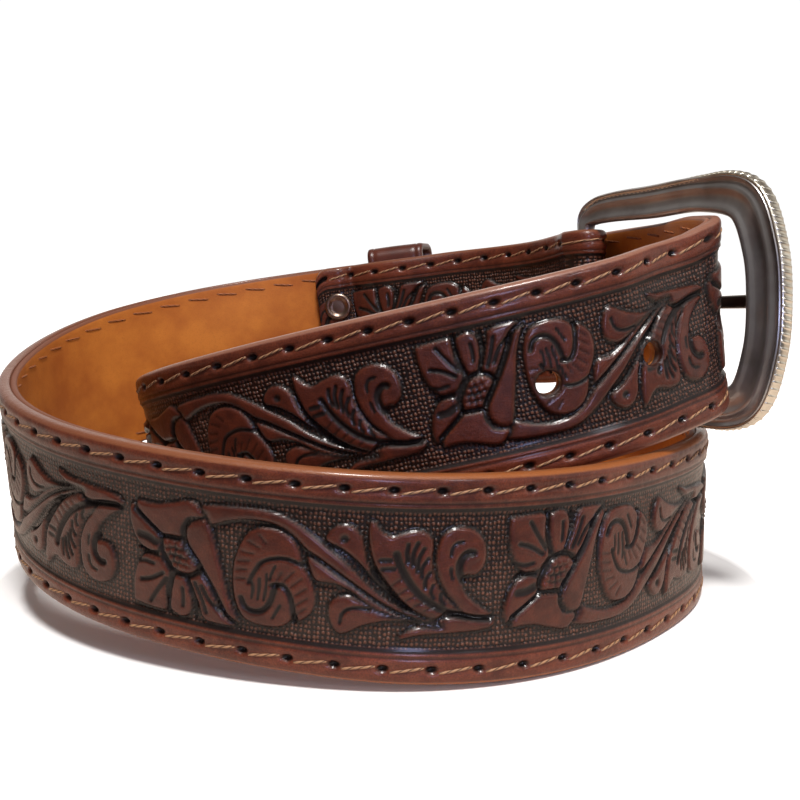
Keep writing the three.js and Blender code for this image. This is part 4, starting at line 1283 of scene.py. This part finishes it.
def make_metal(name, colour, roughness, tarnish, metallic=1.0):
    f = Finish(name, roughness, metallic)
    clouds = f.noise(f.texture_place("Object"), 60, 4, 0.5)
    f.set("Base Color", f.mixed(f.ranged(clouds, 0.4, 0.7), colour, tarnish))
    f.set("Roughness", f.ranged(clouds, 0.3, 0.7, roughness * 0.8, roughness * 1.3))
    return f.material


tooled_leather = make_tooled_leather()
lining_leather = make_lining_leather()
keeper_leather = make_keeper_leather()
# The first colour of each thread is painted shade in the groove between its plies
face_thread = make_thread("waxed thread", srgb(84, 56, 40), srgb(158, 118, 84))
back_thread = make_thread("thread on the lining", srgb(120, 64, 26), srgb(150, 86, 40))
buckle_metal = make_metal("aged nickel", srgb(176, 176, 176), 0.36, srgb(122, 116, 112), 0.85)
rim_metal = make_metal("worn silver rim", srgb(226, 221, 208), 0.3, srgb(176, 168, 154))
prong_metal = make_metal("prong steel", srgb(120, 116, 112), 0.3, srgb(80, 72, 66))
snap_metal = make_metal("snap bronze", srgb(140, 120, 108), 0.34, srgb(90, 72, 62))


# Studio

WHITE = (1.05, 1.05, 1.05, 1)
WARM_WHITE = (1.05, 1.0, 0.94, 1)
DIM_ROOM = (0.12, 0.09, 0.07, 1)
# Where the world turns bright, behind the belt and to its right
BRIGHT_BEHIND = (0.5, 0.88)
BRIGHT_RIGHT = (0.7, 0.9)

# The coil's half size on the floor, and how many times as far out the paper starts to glow
COIL_HALF = (0.086, 0.07)
GLOW = (1.05, 1.14)
# Where the paper in front of the belt ends for the light that it throws back
PAPER_FRONT = (-0.115, -0.105)


def make_world():
    """Lights the belt from behind and from its right, and is white to look at."""
    world = bpy.data.worlds.new("studio")
    world.use_nodes = True
    f = Nodes(world.node_tree)
    x, y, _ = f.parts(f.texture_place("Generated"))
    bright = f.maths("MAXIMUM", f.ranged(y, *BRIGHT_BEHIND), f.ranged(x, *BRIGHT_RIGHT))
    light = f.mixed(bright, DIM_ROOM, WARM_WHITE)
    f.join(f.mixed(f.seen(), light, WHITE), f.nodes["Background"].inputs["Color"])
    bpy.context.scene.world = world


def make_floor():
    """White paper: it glows away from the belt, and throws little light back at its front."""
    bpy.ops.object.select_all(action="DESELECT")
    bpy.ops.mesh.primitive_plane_add(size=6)
    floor = named(bpy.context.object, "floor")
    f = Finish("white paper", 0.9)
    f.set("Specular IOR Level", 0.1)
    f.set("Emission Color", (1, 1, 1, 1))
    where, seen = f.texture_place("Object"), f.seen()
    outwards = f.length(f.stretched(where, (1 / COIL_HALF[0], 1 / COIL_HALF[1], 1)))
    f.set("Emission Strength", f.maths("MULTIPLY", f.ranged(outwards, *GLOW, 0, 0.95), seen))
    behind = f.ranged(f.parts(where)[1], *PAPER_FRONT)
    mirrored = f.mixed(behind, srgb(60, 60, 60), srgb(236, 218, 202))
    f.set("Base Color", f.mixed(seen, mirrored, srgb(248, 248, 248)))
    floor.data.materials.append(f.material)


# Lamps: name, place, size, power and colour
LAMPS = [
    ("key", (0.04, -0.42, 0.8), (0.16, 0.16), 9, (1, 0.98, 0.96)),
    ("front_right", (0.35, -0.55, 0.35), (0.1, 0.16), 0.6, (0.9, 0.92, 1)),
    ("window", (0.1, -0.6, 0.09), (0.08, 0.12), 0.6, (0.55, 0.6, 1)),
]
LAMPS_AIM = Vector((0, 0, 0.04))


def make_studio():
    make_world()
    bpy.context.scene.view_settings.view_transform = "Standard"
    make_floor()
    for name, where, size, power, colour in LAMPS:
        bpy.ops.object.light_add(type="AREA", location=where)
        lamp = bpy.context.object
        lamp.name = f"lamp_{name}"
        lamp.data.shape = "RECTANGLE"
        lamp.data.size, lamp.data.size_y = size
        lamp.data.energy = power
        lamp.data.color = colour
        aim = LAMPS_AIM - Vector(where)
        lamp.rotation_euler = aim.to_track_quat("-Z", "Y").to_euler()


CAMERA_PLACE = (np.array([0.0, -240.0, 74.0]) - MIDDLE) * MM
CAMERA_TILT = 82.55


def make_camera():
    bpy.ops.object.camera_add(location=CAMERA_PLACE, rotation=(math.radians(CAMERA_TILT), 0, 0))
    camera = bpy.context.object
    camera.data.lens = 45
    camera.data.sensor_width = 36
    camera.data.clip_start = 0.005
    bpy.context.scene.camera = camera


# Making

make_strap()
make_lining()
make_stitches()
make_keeper()
make_snap("snap_lower", MID - SNAP_SPREAD)
make_snap("snap_upper", MID + SNAP_SPREAD)
make_buckle()
make_prong()
make_studio()
make_camera()
